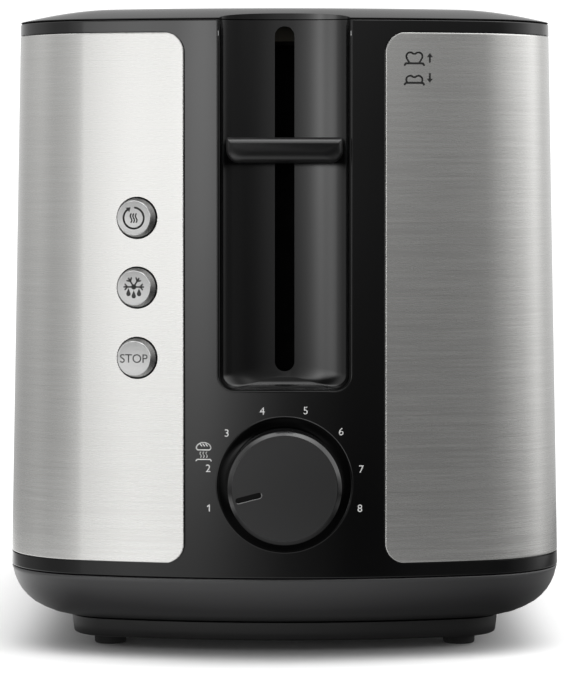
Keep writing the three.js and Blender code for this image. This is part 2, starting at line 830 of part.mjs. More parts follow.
function browningKnob() {
  const front = -dialReach;
  const back = dishDepth - 0.7;
  const shaftEnd = controlBoardY - gap - potDepth / 2 - frontFace(0, dialZ).y;
  const knob = turned([
    [0, front], [dialFaceRadius - 0.8, front], [dialFaceRadius, front + 0.8],
    [dialBackRadius, back], [dialShaftRadius, back], [dialShaftRadius, shaftEnd], [0, shaftEnd],
  ], 44);
  const a = THREE.MathUtils.degToRad(pointerAngle);
  const at = (r) => [r * Math.cos(a), r * Math.sin(a)];
  const [x0, z0] = at(pointerInner);
  const [x1, z1] = at(pointerOuter);
  const across = new THREE.Vector2(-Math.sin(a), Math.cos(a)).multiplyScalar(pointerHalfWidth);
  const bar = new THREE.Shape([
    new THREE.Vector2(x0 + across.x, z0 + across.y), new THREE.Vector2(x0 - across.x, z0 - across.y),
    new THREE.Vector2(x1 - across.x, z1 - across.y), new THREE.Vector2(x1 + across.x, z1 + across.y),
  ]);
  const end = (x, z) => rod(pointerHalfWidth, [x, front - 1, z], [x, front + 0.9, z], 12);
  return cut(knob, prism(bar, front - 1, front + 0.9), end(x0, z0), end(x1, z1));
}

// Button cap with its push rod, along +Y inwards from the surface.
function buttonCap(z) {
  const { y, angle } = buttonAxis(z);
  const switchFace = controlBoardY - gap - switchDepth;
  const slack = buttonTravel + 0.9;
  const end = (switchFace - y) / Math.cos(angle) - slack;
  return turned([
    [0, -buttonReach], [buttonFaceRadius - 0.5, -buttonReach], [buttonFaceRadius, -buttonReach + 0.5],
    [buttonRadius, 0], [buttonRadius, 2], [2.2, 2], [2.2, end], [0, end],
  ], 24);
}

// Sleeve that the button slides in; its flat end stands clear of the bowed steel.
function buttonCollar() {
  const bow = collarRadius ** 2 / (2 * endRadius);
  const sleeve = rod(collarRadius, [0, steelThickness + bow + gap / 2, 0], [0, collarDepth, 0], 24);
  return cut(sleeve, rod(buttonRadius + gap, [0, -9, 0], [0, 9, 0], 24));
}

function tactSwitch(z) {
  const { y, inward } = buttonAxis(z);
  const back = controlBoardY - gap;
  const front = back - switchDepth;
  const x = -buttonX + inward[0] / inward[1] * (front - y);
  return box(x - switchHalf, x + switchHalf, front, back, z - switchHalf, z + switchHalf);
}

// ---------------------------------------------------------------- mains side
function terminalBlock() {
  const y0 = chassisRearY + sheet + gap;
  return box(-terminalHalf, terminalHalf, y0, y0 + terminalDepth, glandZ + 2, glandZ + 18);
}

// Insulated lead from the terminal block, along the left side, to the control board.
function supplyLead(z, blockZ) {
  const y = chassisRearY + sheet + terminalDepth / 2;
  const boardBackY = controlBoardY + controlBoardThickness;
  const route = new THREE.CatmullRomCurve3([
    new THREE.Vector3(-terminalHalf - 2 * gap, y, blockZ),
    new THREE.Vector3(-terminalHalf - 8, y, blockZ),
    new THREE.Vector3(-terminalHalf - 28, y + 9, blockZ),
    new THREE.Vector3(leadX + 7, y + 9, z),
    new THREE.Vector3(leadX, y, z),
    new THREE.Vector3(leadX, chassisRearY - 12, z),
    new THREE.Vector3(leadX, 0, z),
    new THREE.Vector3(leadX, chassisFrontY + 20, z),
    new THREE.Vector3(leadX, chassisFrontY - 12, z),
    new THREE.Vector3(leadX + 12, boardBackY + 16, z),
    new THREE.Vector3(leadX + 13, boardBackY + 5, z),
    new THREE.Vector3(leadX + 13, boardBackY + 2 * gap, z),
  ]);
  const section = new THREE.Shape();
  section.absarc(0, 0, leadRadius, 0, Math.PI * 2, false);
  const options = { steps: 40, extrudePath: route, curveSegments: 4, bevelEnabled: false };
  return solid(new THREE.ExtrudeGeometry(section, options));
}

function cordGland() {
  const face = halfLength - inset(glandZ);
  const ring = turned([
    [0, face - panelInset - 3], [glandRadius - 2, face - panelInset - 3], [glandRadius - 2, face + gap],
    [glandRadius, face + gap], [glandRadius - 0.8, face + glandProud], [0, face + glandProud],
  ], 20, glandZ);
  return cut(ring, rod(glandBore, [0, face - 20, glandZ], [0, face + 20, glandZ], 16));
}

// ---------------------------------------------------------------- assembly
const toaster = new THREE.Group();
const body = new THREE.Group();
body.position.y = bodyShiftY;
toaster.add(body);

function place(name, shape, finish, position = [0, 0, 0], turnZ = 0) {
  const { vertProperties, triVerts } = shape.getMesh();
  const geometry = new THREE.BufferGeometry();
  geometry.setAttribute('position', new THREE.BufferAttribute(vertProperties, 3));
  geometry.setIndex(new THREE.BufferAttribute(triVerts, 1));
  const mesh = new THREE.Mesh(geometry, new THREE.MeshStandardMaterial(finishes[finish]));
  mesh.name = name;
  mesh.position.set(...position);
  mesh.rotation.z = turnZ;
  body.add(mesh);
}

const sides = [['left', -1], ['right', 1]];

place('base_pan', basePan(), 'darkGrey');
place('plinth_ring', plinthRing(), 'satinBlack');
for (const [end, y] of [['front', -halfLength + footInset], ['rear', halfLength - footInset]]) {
  for (const [name, side] of sides) place(`foot_${end}_${name}`, foot(), 'rubber', [side * footX, y, 0]);
}

place('front_panel', frontPanel(), 'glossBlack');
place('rear_panel', rearPanel(), 'glossBlack');
place('lever_channel', leverChannel(), 'darkGrey');
place('top_cover', topCover(), 'glossBlack');
for (const [name, side] of sides) {
  place(`side_liner_${name}`, sideLiner(side), 'glossBlack');
  place(`steel_wrap_${name}`, steelWrap(side), 'brushedSteel');
  place(`bun_rack_${name}`, bunWire(side), 'chrome');
}

place('chassis_front', chassisFront(), 'zinc');
place('chassis_rear', chassisPlate(chassisRearY, trayFloorZ + trayHeight + 2), 'zinc');
for (const [name, side] of sides) {
  const [innerX, outerX] = guideXs(side);
  place(`reflector_${name}`, reflector(side), 'zinc');
  place(`bread_guide_inner_${name}`, breadGuide(innerX), 'zinc');
  place(`bread_guide_outer_${name}`, breadGuide(outerX), 'zinc');
  place(`heater_board_inner_${name}`, heaterBoard(side * innerBoardX), 'mica');
  place(`heater_board_outer_${name}`, heaterBoard(side * outerBoardX), 'mica');
  place(`heater_ribbon_inner_${name}`, heaterRibbon(side * innerBoardX, side), 'ribbon');
  place(`heater_ribbon_outer_${name}`, heaterRibbon(side * outerBoardX, -side), 'ribbon');
  place(`bread_rack_${name}`, breadRack(side), 'zinc');
}

place('guide_shaft', guideShaft(), 'chrome');
place('carriage_bracket', carriageBracket(), 'zinc');
place('return_spring', returnSpring(), 'iron');
place('lever_stem', leverStem(), 'zinc');
place('lever_knob', leverKnob(), 'satinBlack');
place('latch_plate', latchPlate(), 'iron');
place('magnet_core', magnetCore(), 'iron');
place('magnet_coil', magnetCoil(), 'copper');

place('control_board', controlBoard(), 'boardGreen');
place('browning_potentiometer', potentiometer(), 'satinBlack');
place('browning_knob', browningKnob(), 'satinBlack', [0, frontFace(0, dialZ).y, dialZ]);
for (const [i, name] of ['reheat', 'defrost', 'stop'].entries()) {
  const z = buttonZs[i];
  const { y, angle } = buttonAxis(z);
  place(`${name}_button`, buttonCap(z), 'chrome', [-buttonX, y, z], -angle);
  place(`${name}_collar`, buttonCollar(), 'satinBlack', [-buttonX, y, z], -angle);
  place(`${name}_switch`, tactSwitch(z), 'satinBlack');
}

place('terminal_block', terminalBlock(), 'cream');
place('cord_gland', cordGland(), 'rubber');
place('supply_lead_live', supplyLead(leadZs[0], glandZ + 7), 'brown');
place('supply_lead_neutral', supplyLead(leadZs[1], glandZ + 13), 'blue');
place('crumb_tray', crumbTray(), 'zinc');
place('crumb_tray_handle', trayHandle(), 'satinBlack');

export default toaster;
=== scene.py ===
import json
import math

import bmesh
import bpy
from mathutils import Matrix, Vector
from mathutils.bvhtree import BVHTree
from mathutils.interpolate import poly_3d_calc


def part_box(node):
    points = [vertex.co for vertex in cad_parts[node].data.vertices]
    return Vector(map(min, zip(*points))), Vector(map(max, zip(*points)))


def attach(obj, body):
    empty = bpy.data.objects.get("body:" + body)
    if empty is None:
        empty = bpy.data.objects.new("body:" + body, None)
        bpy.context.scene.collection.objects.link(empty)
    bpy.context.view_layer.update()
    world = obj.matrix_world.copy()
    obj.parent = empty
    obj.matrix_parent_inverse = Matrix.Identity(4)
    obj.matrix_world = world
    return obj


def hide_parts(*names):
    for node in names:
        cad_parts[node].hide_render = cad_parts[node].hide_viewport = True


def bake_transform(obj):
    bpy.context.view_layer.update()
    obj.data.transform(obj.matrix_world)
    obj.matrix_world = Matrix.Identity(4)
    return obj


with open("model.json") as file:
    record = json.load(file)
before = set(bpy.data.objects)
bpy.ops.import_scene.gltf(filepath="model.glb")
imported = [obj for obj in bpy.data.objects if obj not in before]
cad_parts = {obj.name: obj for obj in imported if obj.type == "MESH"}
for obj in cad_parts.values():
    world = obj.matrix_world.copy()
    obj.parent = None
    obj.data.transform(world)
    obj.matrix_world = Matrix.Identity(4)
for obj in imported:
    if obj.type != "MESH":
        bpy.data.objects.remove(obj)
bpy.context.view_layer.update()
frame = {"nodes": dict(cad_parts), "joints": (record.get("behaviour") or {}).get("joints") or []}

# ------------------------------------------------------------------ sizes, in metres
MM = 0.001
END_RADIUS = 210 * MM
CORNER_RADIUS = 37 * MM
LEAN = math.tan(math.radians(1.2))
SHEET = 0.9 * MM
GAP = 0.3 * MM
SKIN = 3.6 * MM
STEEL_CORNER = 6.4 * MM

wrap_low, wrap_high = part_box("steel_wrap_right")
panel_low, panel_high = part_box("front_panel")
rear_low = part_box("rear_panel")[0]
base_low, base_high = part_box("base_pan")
cover_low, cover_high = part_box("top_cover")
plinth_low, plinth_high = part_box("plinth_ring")
dial_low, dial_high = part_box("browning_knob")
lever_low, lever_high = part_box("lever_knob")
channel_low, channel_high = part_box("lever_channel")
tray_low, tray_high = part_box("crumb_tray_handle")
gland_low, gland_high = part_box("cord_gland")

BODY_Y = (wrap_low.y + wrap_high.y) / 2
HALF_WIDTH = wrap_high.x
STRIP_X = wrap_low.x
STEEL_LOW, STEEL_TOP = wrap_low.z, wrap_high.z


def lean(z):
    """How far the drafted side has moved in at a height."""
    return (z - STEEL_LOW) * LEAN


HALF_LENGTH = BODY_Y - panel_low.y + lean(panel_low.z)
CORNER_X = HALF_WIDTH - CORNER_RADIUS
BOW_Y = HALF_LENGTH - END_RADIUS
CORNER_Y = BOW_Y + math.sqrt((END_RADIUS - CORNER_RADIUS) ** 2 - CORNER_X ** 2)
TANGENT = math.asin(CORNER_X / (END_RADIUS - CORNER_RADIUS))
FRONT_SPLIT = panel_high.y + GAP / 2
REAR_SPLIT = rear_low.y - GAP / 2

DIAL_Z = (dial_low.z + dial_high.z) / 2
DIAL_RADIUS = (dial_high.x - dial_low.x) / 2
DISH_RADIUS = 21.6 * MM
DISH_DEPTH = 1.9 * MM
CHANNEL_HALF = channel_high.x + GAP
CHANNEL_LOW = channel_low.z - GAP
CHANNEL_DEPTH = 7 * MM
CHANNEL_CORNER = 5.3 * MM
CHANNEL_POWER = 2.6
CHANNEL_FOOT = 4.6 * MM
DIAL_DOME = 230 * MM


def front_y(x, z):
    """Y of the front face at a place, and how far its normal leans to the side."""
    shrink = lean(z)
    on_bow = abs(x) <= (END_RADIUS - shrink) * math.sin(TANGENT)
    radius = (END_RADIUS if on_bow else CORNER_RADIUS) - shrink
    centre_x = 0.0 if on_bow else math.copysign(CORNER_X, x)
    centre_y = BODY_Y - (BOW_Y if on_bow else CORNER_Y)
    angle = math.asin(max(-1.0, min(1.0, (x - centre_x) / radius)))
    return centre_y - radius * math.cos(angle), angle


# ------------------------------------------------------------------ mesh helpers
def new_piece(name, verts, faces):
    """An object from points and faces."""
    mesh = bpy.data.meshes.new(name)
    mesh.from_pydata([tuple(v) for v in verts], [], faces)
    mesh.validate()
    return adopt(name, mesh)


def adopt(name, mesh):
    """An object for a mesh, in the scene."""
    piece = bpy.data.objects.new(name, mesh)
    bpy.context.scene.collection.objects.link(piece)
    return piece


def point_outwards(piece):
    """Joins doubled points and turns every face outwards."""
    bm = bmesh.new()
    bm.from_mesh(piece.data)
    bmesh.ops.remove_doubles(bm, verts=bm.verts, dist=1e-7)
    bmesh.ops.recalc_face_normals(bm, faces=bm.faces)
    bm.to_mesh(piece.data)
    bm.free()


def shade(piece, angle):
    """Smooth shading, with creases where faces meet at more than an angle in degrees."""
    piece.data.shade_smooth()
    piece.data.set_sharp_from_angle(angle=math.radians(angle))
    return piece


def closed_piece(name, verts, faces, angle):
    """A closed object with its faces turned outwards and smooth shading."""
    piece = new_piece(name, verts, faces)
    point_outwards(piece)
    return shade(piece, angle)


def ring_solid(name, rings, angle=32.0):
    """A solid through rings of equally many points, with flat ends."""
    count = len(rings[0])
    verts = [point for ring in rings for point in ring]
    faces = []
    for level in range(len(rings) - 1):
        for i in range(count):
            a = level * count + i
            b = level * count + (i + 1) % count
            faces.append((a, b, b + count, a + count))
    faces.append(tuple(reversed(range(count))))
    faces.append(tuple(range((len(rings) - 1) * count, len(rings) * count)))
    return closed_piece(name, verts, faces, angle)


def loop_solid(name, rings, angle=32.0):
    """A solid whose rings follow one another round and close on the first."""
    count = len(rings[0])
    verts = [point for ring in rings for point in ring]
    faces = []
    for level in range(len(rings)):
        following = (level + 1) % len(rings)
        for i in range(count):
            j = (i + 1) % count
            faces.append((level * count + i, level * count + j, following * count + j, following * count + i))
    return closed_piece(name, verts, faces, angle)


def turned(name, profile, centre, axis, steps, angle=32.0):
    """Turns (radius, distance) pairs round an axis through centre; distance runs along the axis."""
    rings = []
    for radius, along in profile:
        ring = []
        for i in range(steps):
            turn = 2 * math.pi * i / steps
            u, v = radius * math.cos(turn), radius * math.sin(turn)
            place = (u, along, v) if axis == "Y" else (u, v, along)
            ring.append(Vector(centre) + Vector(place))
        rings.append(ring)
    return ring_solid(name, rings, angle)


def prism_along_y(name, outline, y0, y1, angle=32.0):
    """A solid over an outline drawn in x and z."""
    return ring_solid(name, [[(x, y, z) for x, z in outline] for y in (y0, y1)], angle)


def prism_along_z(name, outline, z0, z1):
    """A solid over an outline drawn in x and y."""
    return ring_solid(name, [[(x, y, z) for x, y in outline] for z in (z0, z1)])


def arc(cx, cy, radius, start, end, steps):
    """Points on an arc, angles in degrees, both ends included."""
    points = []
    for i in range(steps + 1):
        turn = math.radians(start + (end - start) * i / steps)
        points.append((cx + radius * math.cos(turn), cy + radius * math.sin(turn)))
    return points


def box_tool(low, high):
    """A plain box between two corners."""
    verts = [(x, y, z) for x in (low[0], high[0]) for y in (low[1], high[1]) for z in (low[2], high[2])]
    faces = [(0, 1, 3, 2), (4, 6, 7, 5), (0, 4, 5, 1), (2, 3, 7, 6), (0, 2, 6, 4), (1, 5, 7, 3)]
    piece = new_piece("tool", verts, faces)
    point_outwards(piece)
    return piece


def surface_memory(piece):
    """Faces and smooth normals of a shape, to be given back to what is cut from it."""
    mesh = piece.data
    mesh.calc_loop_triangles()
    verts = [v.co.copy() for v in mesh.vertices]
    sound = [t for t in mesh.loop_triangles if t.area > 1e-11]
    triangles = [tuple(t.vertices) for t in sound]
    normals = [[mesh.corner_normals[i].vector.copy() for i in t.loops] for t in sound]
    return verts, triangles, normals, BVHTree.FromPolygons(verts, triangles)


def remembered_normal(memory, point, facing):
    """Smooth normal that an uncut shape had at a point of a face, or None off that shape."""
    verts, triangles, normals, tree = memory
    touching = tree.find_nearest_range(point, 2e-5)
    if not touching:
        return None
    _, flat, index, _ = max(touching, key=lambda found: abs(found[1].dot(facing)))
    if abs(flat.dot(facing)) < 0.85:
        return None
    weights = poly_3d_calc([verts[i] for i in triangles[index]], point)
    normal = Vector((0, 0, 0))
    for weight, corner in zip(weights, normals[index]):
        normal += corner * weight
    if flat.dot(facing) < 0:
        normal.negate()
    return normal.normalized()


def skin_normal(point, facing):
    """Exact normal of the body's drafted side, for a corner of a face that lies on it."""
    across, along = abs(point.x), abs(point.y - BODY_Y)
    if along < CORNER_Y:
        out_x, out_y, inset = 1.0, 0.0, HALF_WIDTH - across
    else:
        on_bow = math.atan2(across, along - BOW_Y) <= TANGENT
        centre_x, centre_y = (0.0, BOW_Y) if on_bow else (CORNER_X, CORNER_Y)
        reach = math.hypot(across - centre_x, along - centre_y)
        out_x, out_y = (across - centre_x) / reach, (along - centre_y) / reach
        inset = (END_RADIUS if on_bow else CORNER_RADIUS) - reach
    if abs(inset - lean(point.z)) > 0.04 * MM:
        return None
    normal = Vector((math.copysign(out_x, point.x), math.copysign(out_y, point.y - BODY_Y), LEAN))
    normal.normalize()
    return normal if normal.dot(facing) > 0.99 else None


def carve(piece, tools, operation="DIFFERENCE"):
    """Cuts tools out of a piece, and keeps the smooth normals of every surface taken part."""
    memories = [surface_memory(piece)] + [surface_memory(tool) for tool in tools]
    for tool in tools:
        step = piece.modifiers.new("carve", "BOOLEAN")
        step.operation = operation
        step.solver = "EXACT"
        step.object = tool
    settle(piece)
    for tool in tools:
        bpy.data.objects.remove(tool)
    shade(piece, 30)
    mesh = piece.data
    fixed = []
    for polygon in mesh.polygons:
        for i in polygon.loop_indices:
            point = mesh.vertices[mesh.loops[i].vertex_index].co
            found = skin_normal(point, polygon.normal)
            for memory in memories:
                if found is not None:
                    break
                found = remembered_normal(memory, point, polygon.normal)
            fixed.append(found if found is not None else mesh.corner_normals[i].vector.copy())
    mesh.normals_split_custom_set(fixed)
    return piece


def settle(piece):
    """Applies a piece's modifiers."""
    graph = bpy.context.evaluated_depsgraph_get()
    graph.update()
    mesh = bpy.data.meshes.new_from_object(piece.evaluated_get(graph))
    piece.modifiers.clear()
    old = piece.data
    piece.data = mesh
    bpy.data.meshes.remove(old)


def round_edges(piece, width, segments):
    """Rounds every edge where faces meet at more than 35 degrees."""
    angle = 35
    step = piece.modifiers.new("round", "BEVEL")
    step.width = width
    step.segments = segments
    step.limit_method = "ANGLE"
    step.angle_limit = math.radians(angle)
    step.harden_normals = False
    settle(piece)
    return shade(piece, angle)


def merge(name, *pieces):
    """Joins finished shapes into one object."""
    bm = bmesh.new()
    for piece in pieces:
        bm.from_mesh(piece.data)
        bpy.data.objects.remove(piece)
    mesh = bpy.data.meshes.new(name)
    bm.to_mesh(mesh)
    bm.free()
    return adopt(name, mesh)


def tube(name, path, radius, sides=12, closed=False):
    """A round wire along a path of points."""
    rings = []
    count = len(path)
    side = None
    for i, point in enumerate(path):
        before = path[(i - 1) % count] if closed or i > 0 else point
        after = path[(i + 1) % count] if closed or i < count - 1 else point
        along = (Vector(after) - Vector(before)).normalized()
        if side is None:
            side = along.orthogonal().normalized()
        side = (side - along * side.dot(along)).normalized()
        other = along.cross(side)
        ring = []
        for k in range(sides):
            turn = 2 * math.pi * k / sides
            ring.append(Vector(point) + radius * (side * math.cos(turn) + other * math.sin(turn)))
        rings.append(ring)
    if closed:
        return loop_solid(name, rings, 60)
    return ring_solid(name, rings, 60)


# ------------------------------------------------------------------ body outline
def plan(inwards):
    """Outline of the body seen from above: bowed ends, round corners, straight sides."""
    end_steps, corner_steps = 28, 18
    t = math.degrees(TANGENT)
    centres = [
        (0, -BOW_Y, END_RADIUS, -90 - t, -90 + t, end_steps),
        (CORNER_X, -CORNER_Y, CORNER_RADIUS, -90 + t, 0, corner_steps),
        (CORNER_X, CORNER_Y, CORNER_RADIUS, 0, 90 - t, corner_steps),
        (0, BOW_Y, END_RADIUS, 90 - t, 90 + t, end_steps),
        (-CORNER_X, CORNER_Y, CORNER_RADIUS, 90 + t, 180, corner_steps),
        (-CORNER_X, -CORNER_Y, CORNER_RADIUS, 180, 270 - t, corner_steps),
    ]
    points = []
    for cx, cy, radius, start, end, steps in centres:
        for point in arc(cx, cy, radius - inwards, start, end, steps):
            if not points or math.dist(points[-1], point) > 1e-7:
                points.append(point)
    if math.dist(points[0], points[-1]) < 1e-7:
        points.pop()
    return [(x, y + BODY_Y) for x, y in points]


def loft(name, levels, angle=32.0):
    """A solid through body outlines, each level a height and an inward move."""
    return ring_solid(name, [[(x, y, z) for x, y in plan(inwards)] for z, inwards in levels], angle)


def softened(z0, z1, inwards, radius):
    """Levels of an upright wall whose two edges are rounded."""
    low, high = [], []
    steps = 4
    for i in range(steps + 1):
        turn = math.pi / 2 * i / steps
        move = radius * (1 - math.sin(turn))
        rise = radius * (1 - math.cos(turn))
        low.append((z0 + rise, inwards + lean(z0 + rise) + move))
        high.append((z1 - rise, inwards + lean(z1 - rise) + move))
    return low + list(reversed(high))


# ------------------------------------------------------------------ shader groups
def node_group(name, inputs, outputs):
    """Empty shader group with named sockets; returns its tree, input node and output node."""
    tree = bpy.data.node_groups.new(name, "ShaderNodeTree")
    for label, kind, value in inputs:
        socket = tree.interface.new_socket(label, in_out="INPUT", socket_type=kind)
        if value is not None:
            socket.default_value = value
    for label, kind in outputs:
        tree.interface.new_socket(label, in_out="OUTPUT", socket_type=kind)
    return tree, tree.nodes.new("NodeGroupInput"), tree.nodes.new("NodeGroupOutput")


FLOAT, VECTOR = "NodeSocketFloat", "NodeSocketVector"


def noise(tree, vector, scale, detail, roughness):
    """Noise in coordinates that are multiplied by a number or a socket."""
    node = tree.nodes.new("ShaderNodeTexNoise")
    node.inputs["Detail"].default_value = detail
    node.inputs["Roughness"].default_value = roughness
    if isinstance(scale, (int, float)):
        node.inputs["Scale"].default_value = scale
    else:
        tree.links.new(scale, node.inputs["Scale"])
    tree.links.new(vector, node.inputs["Vector"])
    return node.outputs["Fac"]


def sums(tree, operation, a, b, clamp=False):
    """One arithmetic step on numbers or sockets."""
    node = tree.nodes.new("ShaderNodeMath")
    node.operation = operation
    node.use_clamp = clamp
    for socket, value in zip(node.inputs, (a, b)):
        if isinstance(value, (int, float)):
            socket.default_value = value
        else:
            tree.links.new(value, socket)
    return node.outputs[0]


def span(tree, value, low, high, out_low=0.0, out_high=1.0):
    """A value's place between two limits, carried over to two other limits."""
    node = tree.nodes.new("ShaderNodeMapRange")
    node.inputs["From Min"].default_value = low
    node.inputs["From Max"].default_value = high
    for label, number in (("To Min", out_low), ("To Max", out_high)):
        if isinstance(number, (int, float)):
            node.inputs[label].default_value = number
        else:
            tree.links.new(number, node.inputs[label])
    tree.links.new(value, node.inputs["Value"])
    return node.outputs["Result"]


def brushed_group():
    """Long fine scratches: stretched noise, read along the brushing direction."""
    tree, start, end = node_group(
        "brushed_lines",
        [("Vector", VECTOR, None), ("Along", FLOAT, 45.0), ("Across", FLOAT, 2600.0),
         ("Roughness", FLOAT, 0.3), ("Spread", FLOAT, 0.1)],
        [("Lines", FLOAT), ("Roughness", FLOAT), ("Height", FLOAT)],
    )
    stretch = tree.nodes.new("ShaderNodeCombineXYZ")
    tree.links.new(start.outputs["Along"], stretch.inputs["X"])
    tree.links.new(start.outputs["Along"], stretch.inputs["Y"])
    tree.links.new(start.outputs["Across"], stretch.inputs["Z"])
    scaled = tree.nodes.new("ShaderNodeVectorMath")
    scaled.operation = "MULTIPLY"
    tree.links.new(start.outputs["Vector"], scaled.inputs[0])
    tree.links.new(stretch.outputs[0], scaled.inputs[1])
    fine = noise(tree, scaled.outputs[0], 1.0, 4.0, 0.7)
    broad = noise(tree, scaled.outputs[0], 0.4, 2.0, 0.5)
    both = sums(tree, "ADD", sums(tree, "MULTIPLY", fine, 0.75), sums(tree, "MULTIPLY", broad, 0.25))
    lines = span(tree, both, 0.3, 0.7)
    tree.links.new(lines, end.inputs["Lines"])
    tree.links.new(both, end.inputs["Height"])
    offset = sums(tree, "MULTIPLY", sums(tree, "SUBTRACT", lines, 0.5), start.outputs["Spread"])
    tree.links.new(sums(tree, "ADD", offset, start.outputs["Roughness"], True), end.inputs["Roughness"])
    return tree


def grain_group():
    """Fine moulded grain with a slow drift in gloss, as on injection mouldings."""
    tree, start, end = node_group(
        "moulded_grain",
        [("Vector", VECTOR, None), ("Grain", FLOAT, 3000.0),
         ("Roughness", FLOAT, 0.4), ("Drift", FLOAT, 0.06)],
        [("Height", FLOAT), ("Roughness", FLOAT), ("Cloud", FLOAT)],
    )
    fine = noise(tree, start.outputs["Vector"], start.outputs["Grain"], 2.0, 0.6)
    cloud = noise(tree, start.outputs["Vector"], 22.0, 3.0, 0.5)
    tree.links.new(fine, end.inputs["Height"])
    tree.links.new(cloud, end.inputs["Cloud"])
    drift = sums(tree, "MULTIPLY", sums(tree, "SUBTRACT", cloud, 0.5), start.outputs["Drift"])
    tree.links.new(sums(tree, "ADD", drift, start.outputs["Roughness"], True), end.inputs["Roughness"])
    return tree


def patch_group():
    """Patchy second tone, for spangle, oxide, mica flakes and crumbs of toasted dust."""
    tree, start, end = node_group(
        "patches",
        [("Vector", VECTOR, None), ("Size", FLOAT, 180.0), ("Low", FLOAT, 0.0), ("High", FLOAT, 1.0)],
        [("Mask", FLOAT), ("Height", FLOAT)],
    )
    cells = tree.nodes.new("ShaderNodeTexVoronoi")
    cells.feature = "F1"
    tree.links.new(start.outputs["Vector"], cells.inputs["Vector"])
    tree.links.new(start.outputs["Size"], cells.inputs["Scale"])
    split = tree.nodes.new("ShaderNodeSeparateColor")
    tree.links.new(cells.outputs["Color"], split.inputs[0])
    soft = noise(tree, start.outputs["Vector"], start.outputs["Size"], 3.0, 0.6)
    mask = sums(tree, "ADD", sums(tree, "MULTIPLY", split.outputs[0], 0.5), sums(tree, "MULTIPLY", soft, 0.5))
    ranged = span(tree, mask, 0.0, 1.0, start.outputs["Low"], start.outputs["High"])
    tree.links.new(ranged, end.inputs["Mask"])
    tree.links.new(mask, end.inputs["Height"])
    return tree


BRUSHED = brushed_group()
GRAIN = grain_group()
PATCHES = patch_group()


# ------------------------------------------------------------------ materials
def surface(name, metallic, roughness, colour, **constants):
    """A Principled material with its constant sockets set; returns material, tree, shader, coordinates."""
    material = bpy.data.materials.new(name)
    material.use_nodes = True
    tree = material.node_tree
    shader = tree.nodes["Principled BSDF"]
    shader.inputs["Base Color"].default_value = (*colour, 1.0)
    shader.inputs["Metallic"].default_value = metallic
    shader.inputs["Roughness"].default_value = roughness
    for label, value in constants.items():
        shader.inputs[label.replace("_", " ")].default_value = value
    coordinates = tree.nodes.new("ShaderNodeTexCoord").outputs["Object"]
    material.diffuse_color = (*colour, 1.0)
    return material, tree, shader, coordinates


def use_group(tree, group, coordinates, **values):
    """Puts a shader group into a material and sets its inputs."""
    node = tree.nodes.new("ShaderNodeGroup")
    node.node_tree = group
    tree.links.new(coordinates, node.inputs["Vector"])
    for label, value in values.items():
        node.inputs[label].default_value = value
    return node


def tint(tree, shader, mask, dark, light):
    """Colours a shader between two tones by a mask."""
    ramp = tree.nodes.new("ShaderNodeMix")
    ramp.data_type = "RGBA"
    ramp.inputs["A"].default_value = (*dark, 1.0)
    ramp.inputs["B"].default_value = (*light, 1.0)
    tree.links.new(mask, ramp.inputs["Factor"])
    tree.links.new(ramp.outputs["Result"], shader.inputs["Base Color"])


def bump(tree, shader, height, strength, distance):
    """Small relief from a height socket."""
    node = tree.nodes.new("ShaderNodeBump")
    node.inputs["Strength"].default_value = strength
    node.inputs["Distance"].default_value = distance
    tree.links.new(height, node.inputs["Height"])
    tree.links.new(node.outputs["Normal"], shader.inputs["Normal"])


def brushed_metal(name, dark, light, roughness, spread, across, anisotropy, depth):
    """Metal with fine lines brushed round the body."""
    material, tree, shader, place = surface(name, 1.0, roughness, light, Anisotropic=anisotropy)
    shader.inputs["Anisotropic Rotation"].default_value = 0.25
    lines = use_group(tree, BRUSHED, place, Across=across, Roughness=roughness, Spread=spread)
    tint(tree, shader, lines.outputs["Lines"], dark, light)
    tree.links.new(lines.outputs["Roughness"], shader.inputs["Roughness"])
    bump(tree, shader, lines.outputs["Height"], depth, 0.02 * MM)
    return material


def moulding(name, dark, light, roughness, drift, grain, depth, **constants):
    """Moulded plastic, rubber, glaze or ink: fine grain and a slow drift in gloss."""
    material, tree, shader, place = surface(name, 0.0, roughness, dark, **constants)
    skin = use_group(tree, GRAIN, place, Grain=grain, Roughness=roughness, Drift=drift)
    tint(tree, shader, skin.outputs["Cloud"], dark, light)
    tree.links.new(skin.outputs["Roughness"], shader.inputs["Roughness"])
    bump(tree, shader, skin.outputs["Height"], depth, 0.05 * MM)
    return material


def patchy(name, metallic, dark, light, roughness, size, depth, **constants):
    """Sheet, plate or board whose tone and gloss change from patch to patch."""
    material, tree, shader, place = surface(name, metallic, roughness, light, **constants)
    marks = use_group(tree, PATCHES, place, Size=size)
    tint(tree, shader, marks.outputs["Mask"], dark, light)
    rough = span(tree, marks.outputs["Mask"], 0.0, 1.0, roughness * 0.8, min(1.0, roughness * 1.2))
    tree.links.new(rough, shader.inputs["Roughness"])
    bump(tree, shader, marks.outputs["Height"], depth, 0.1 * MM)
    return material


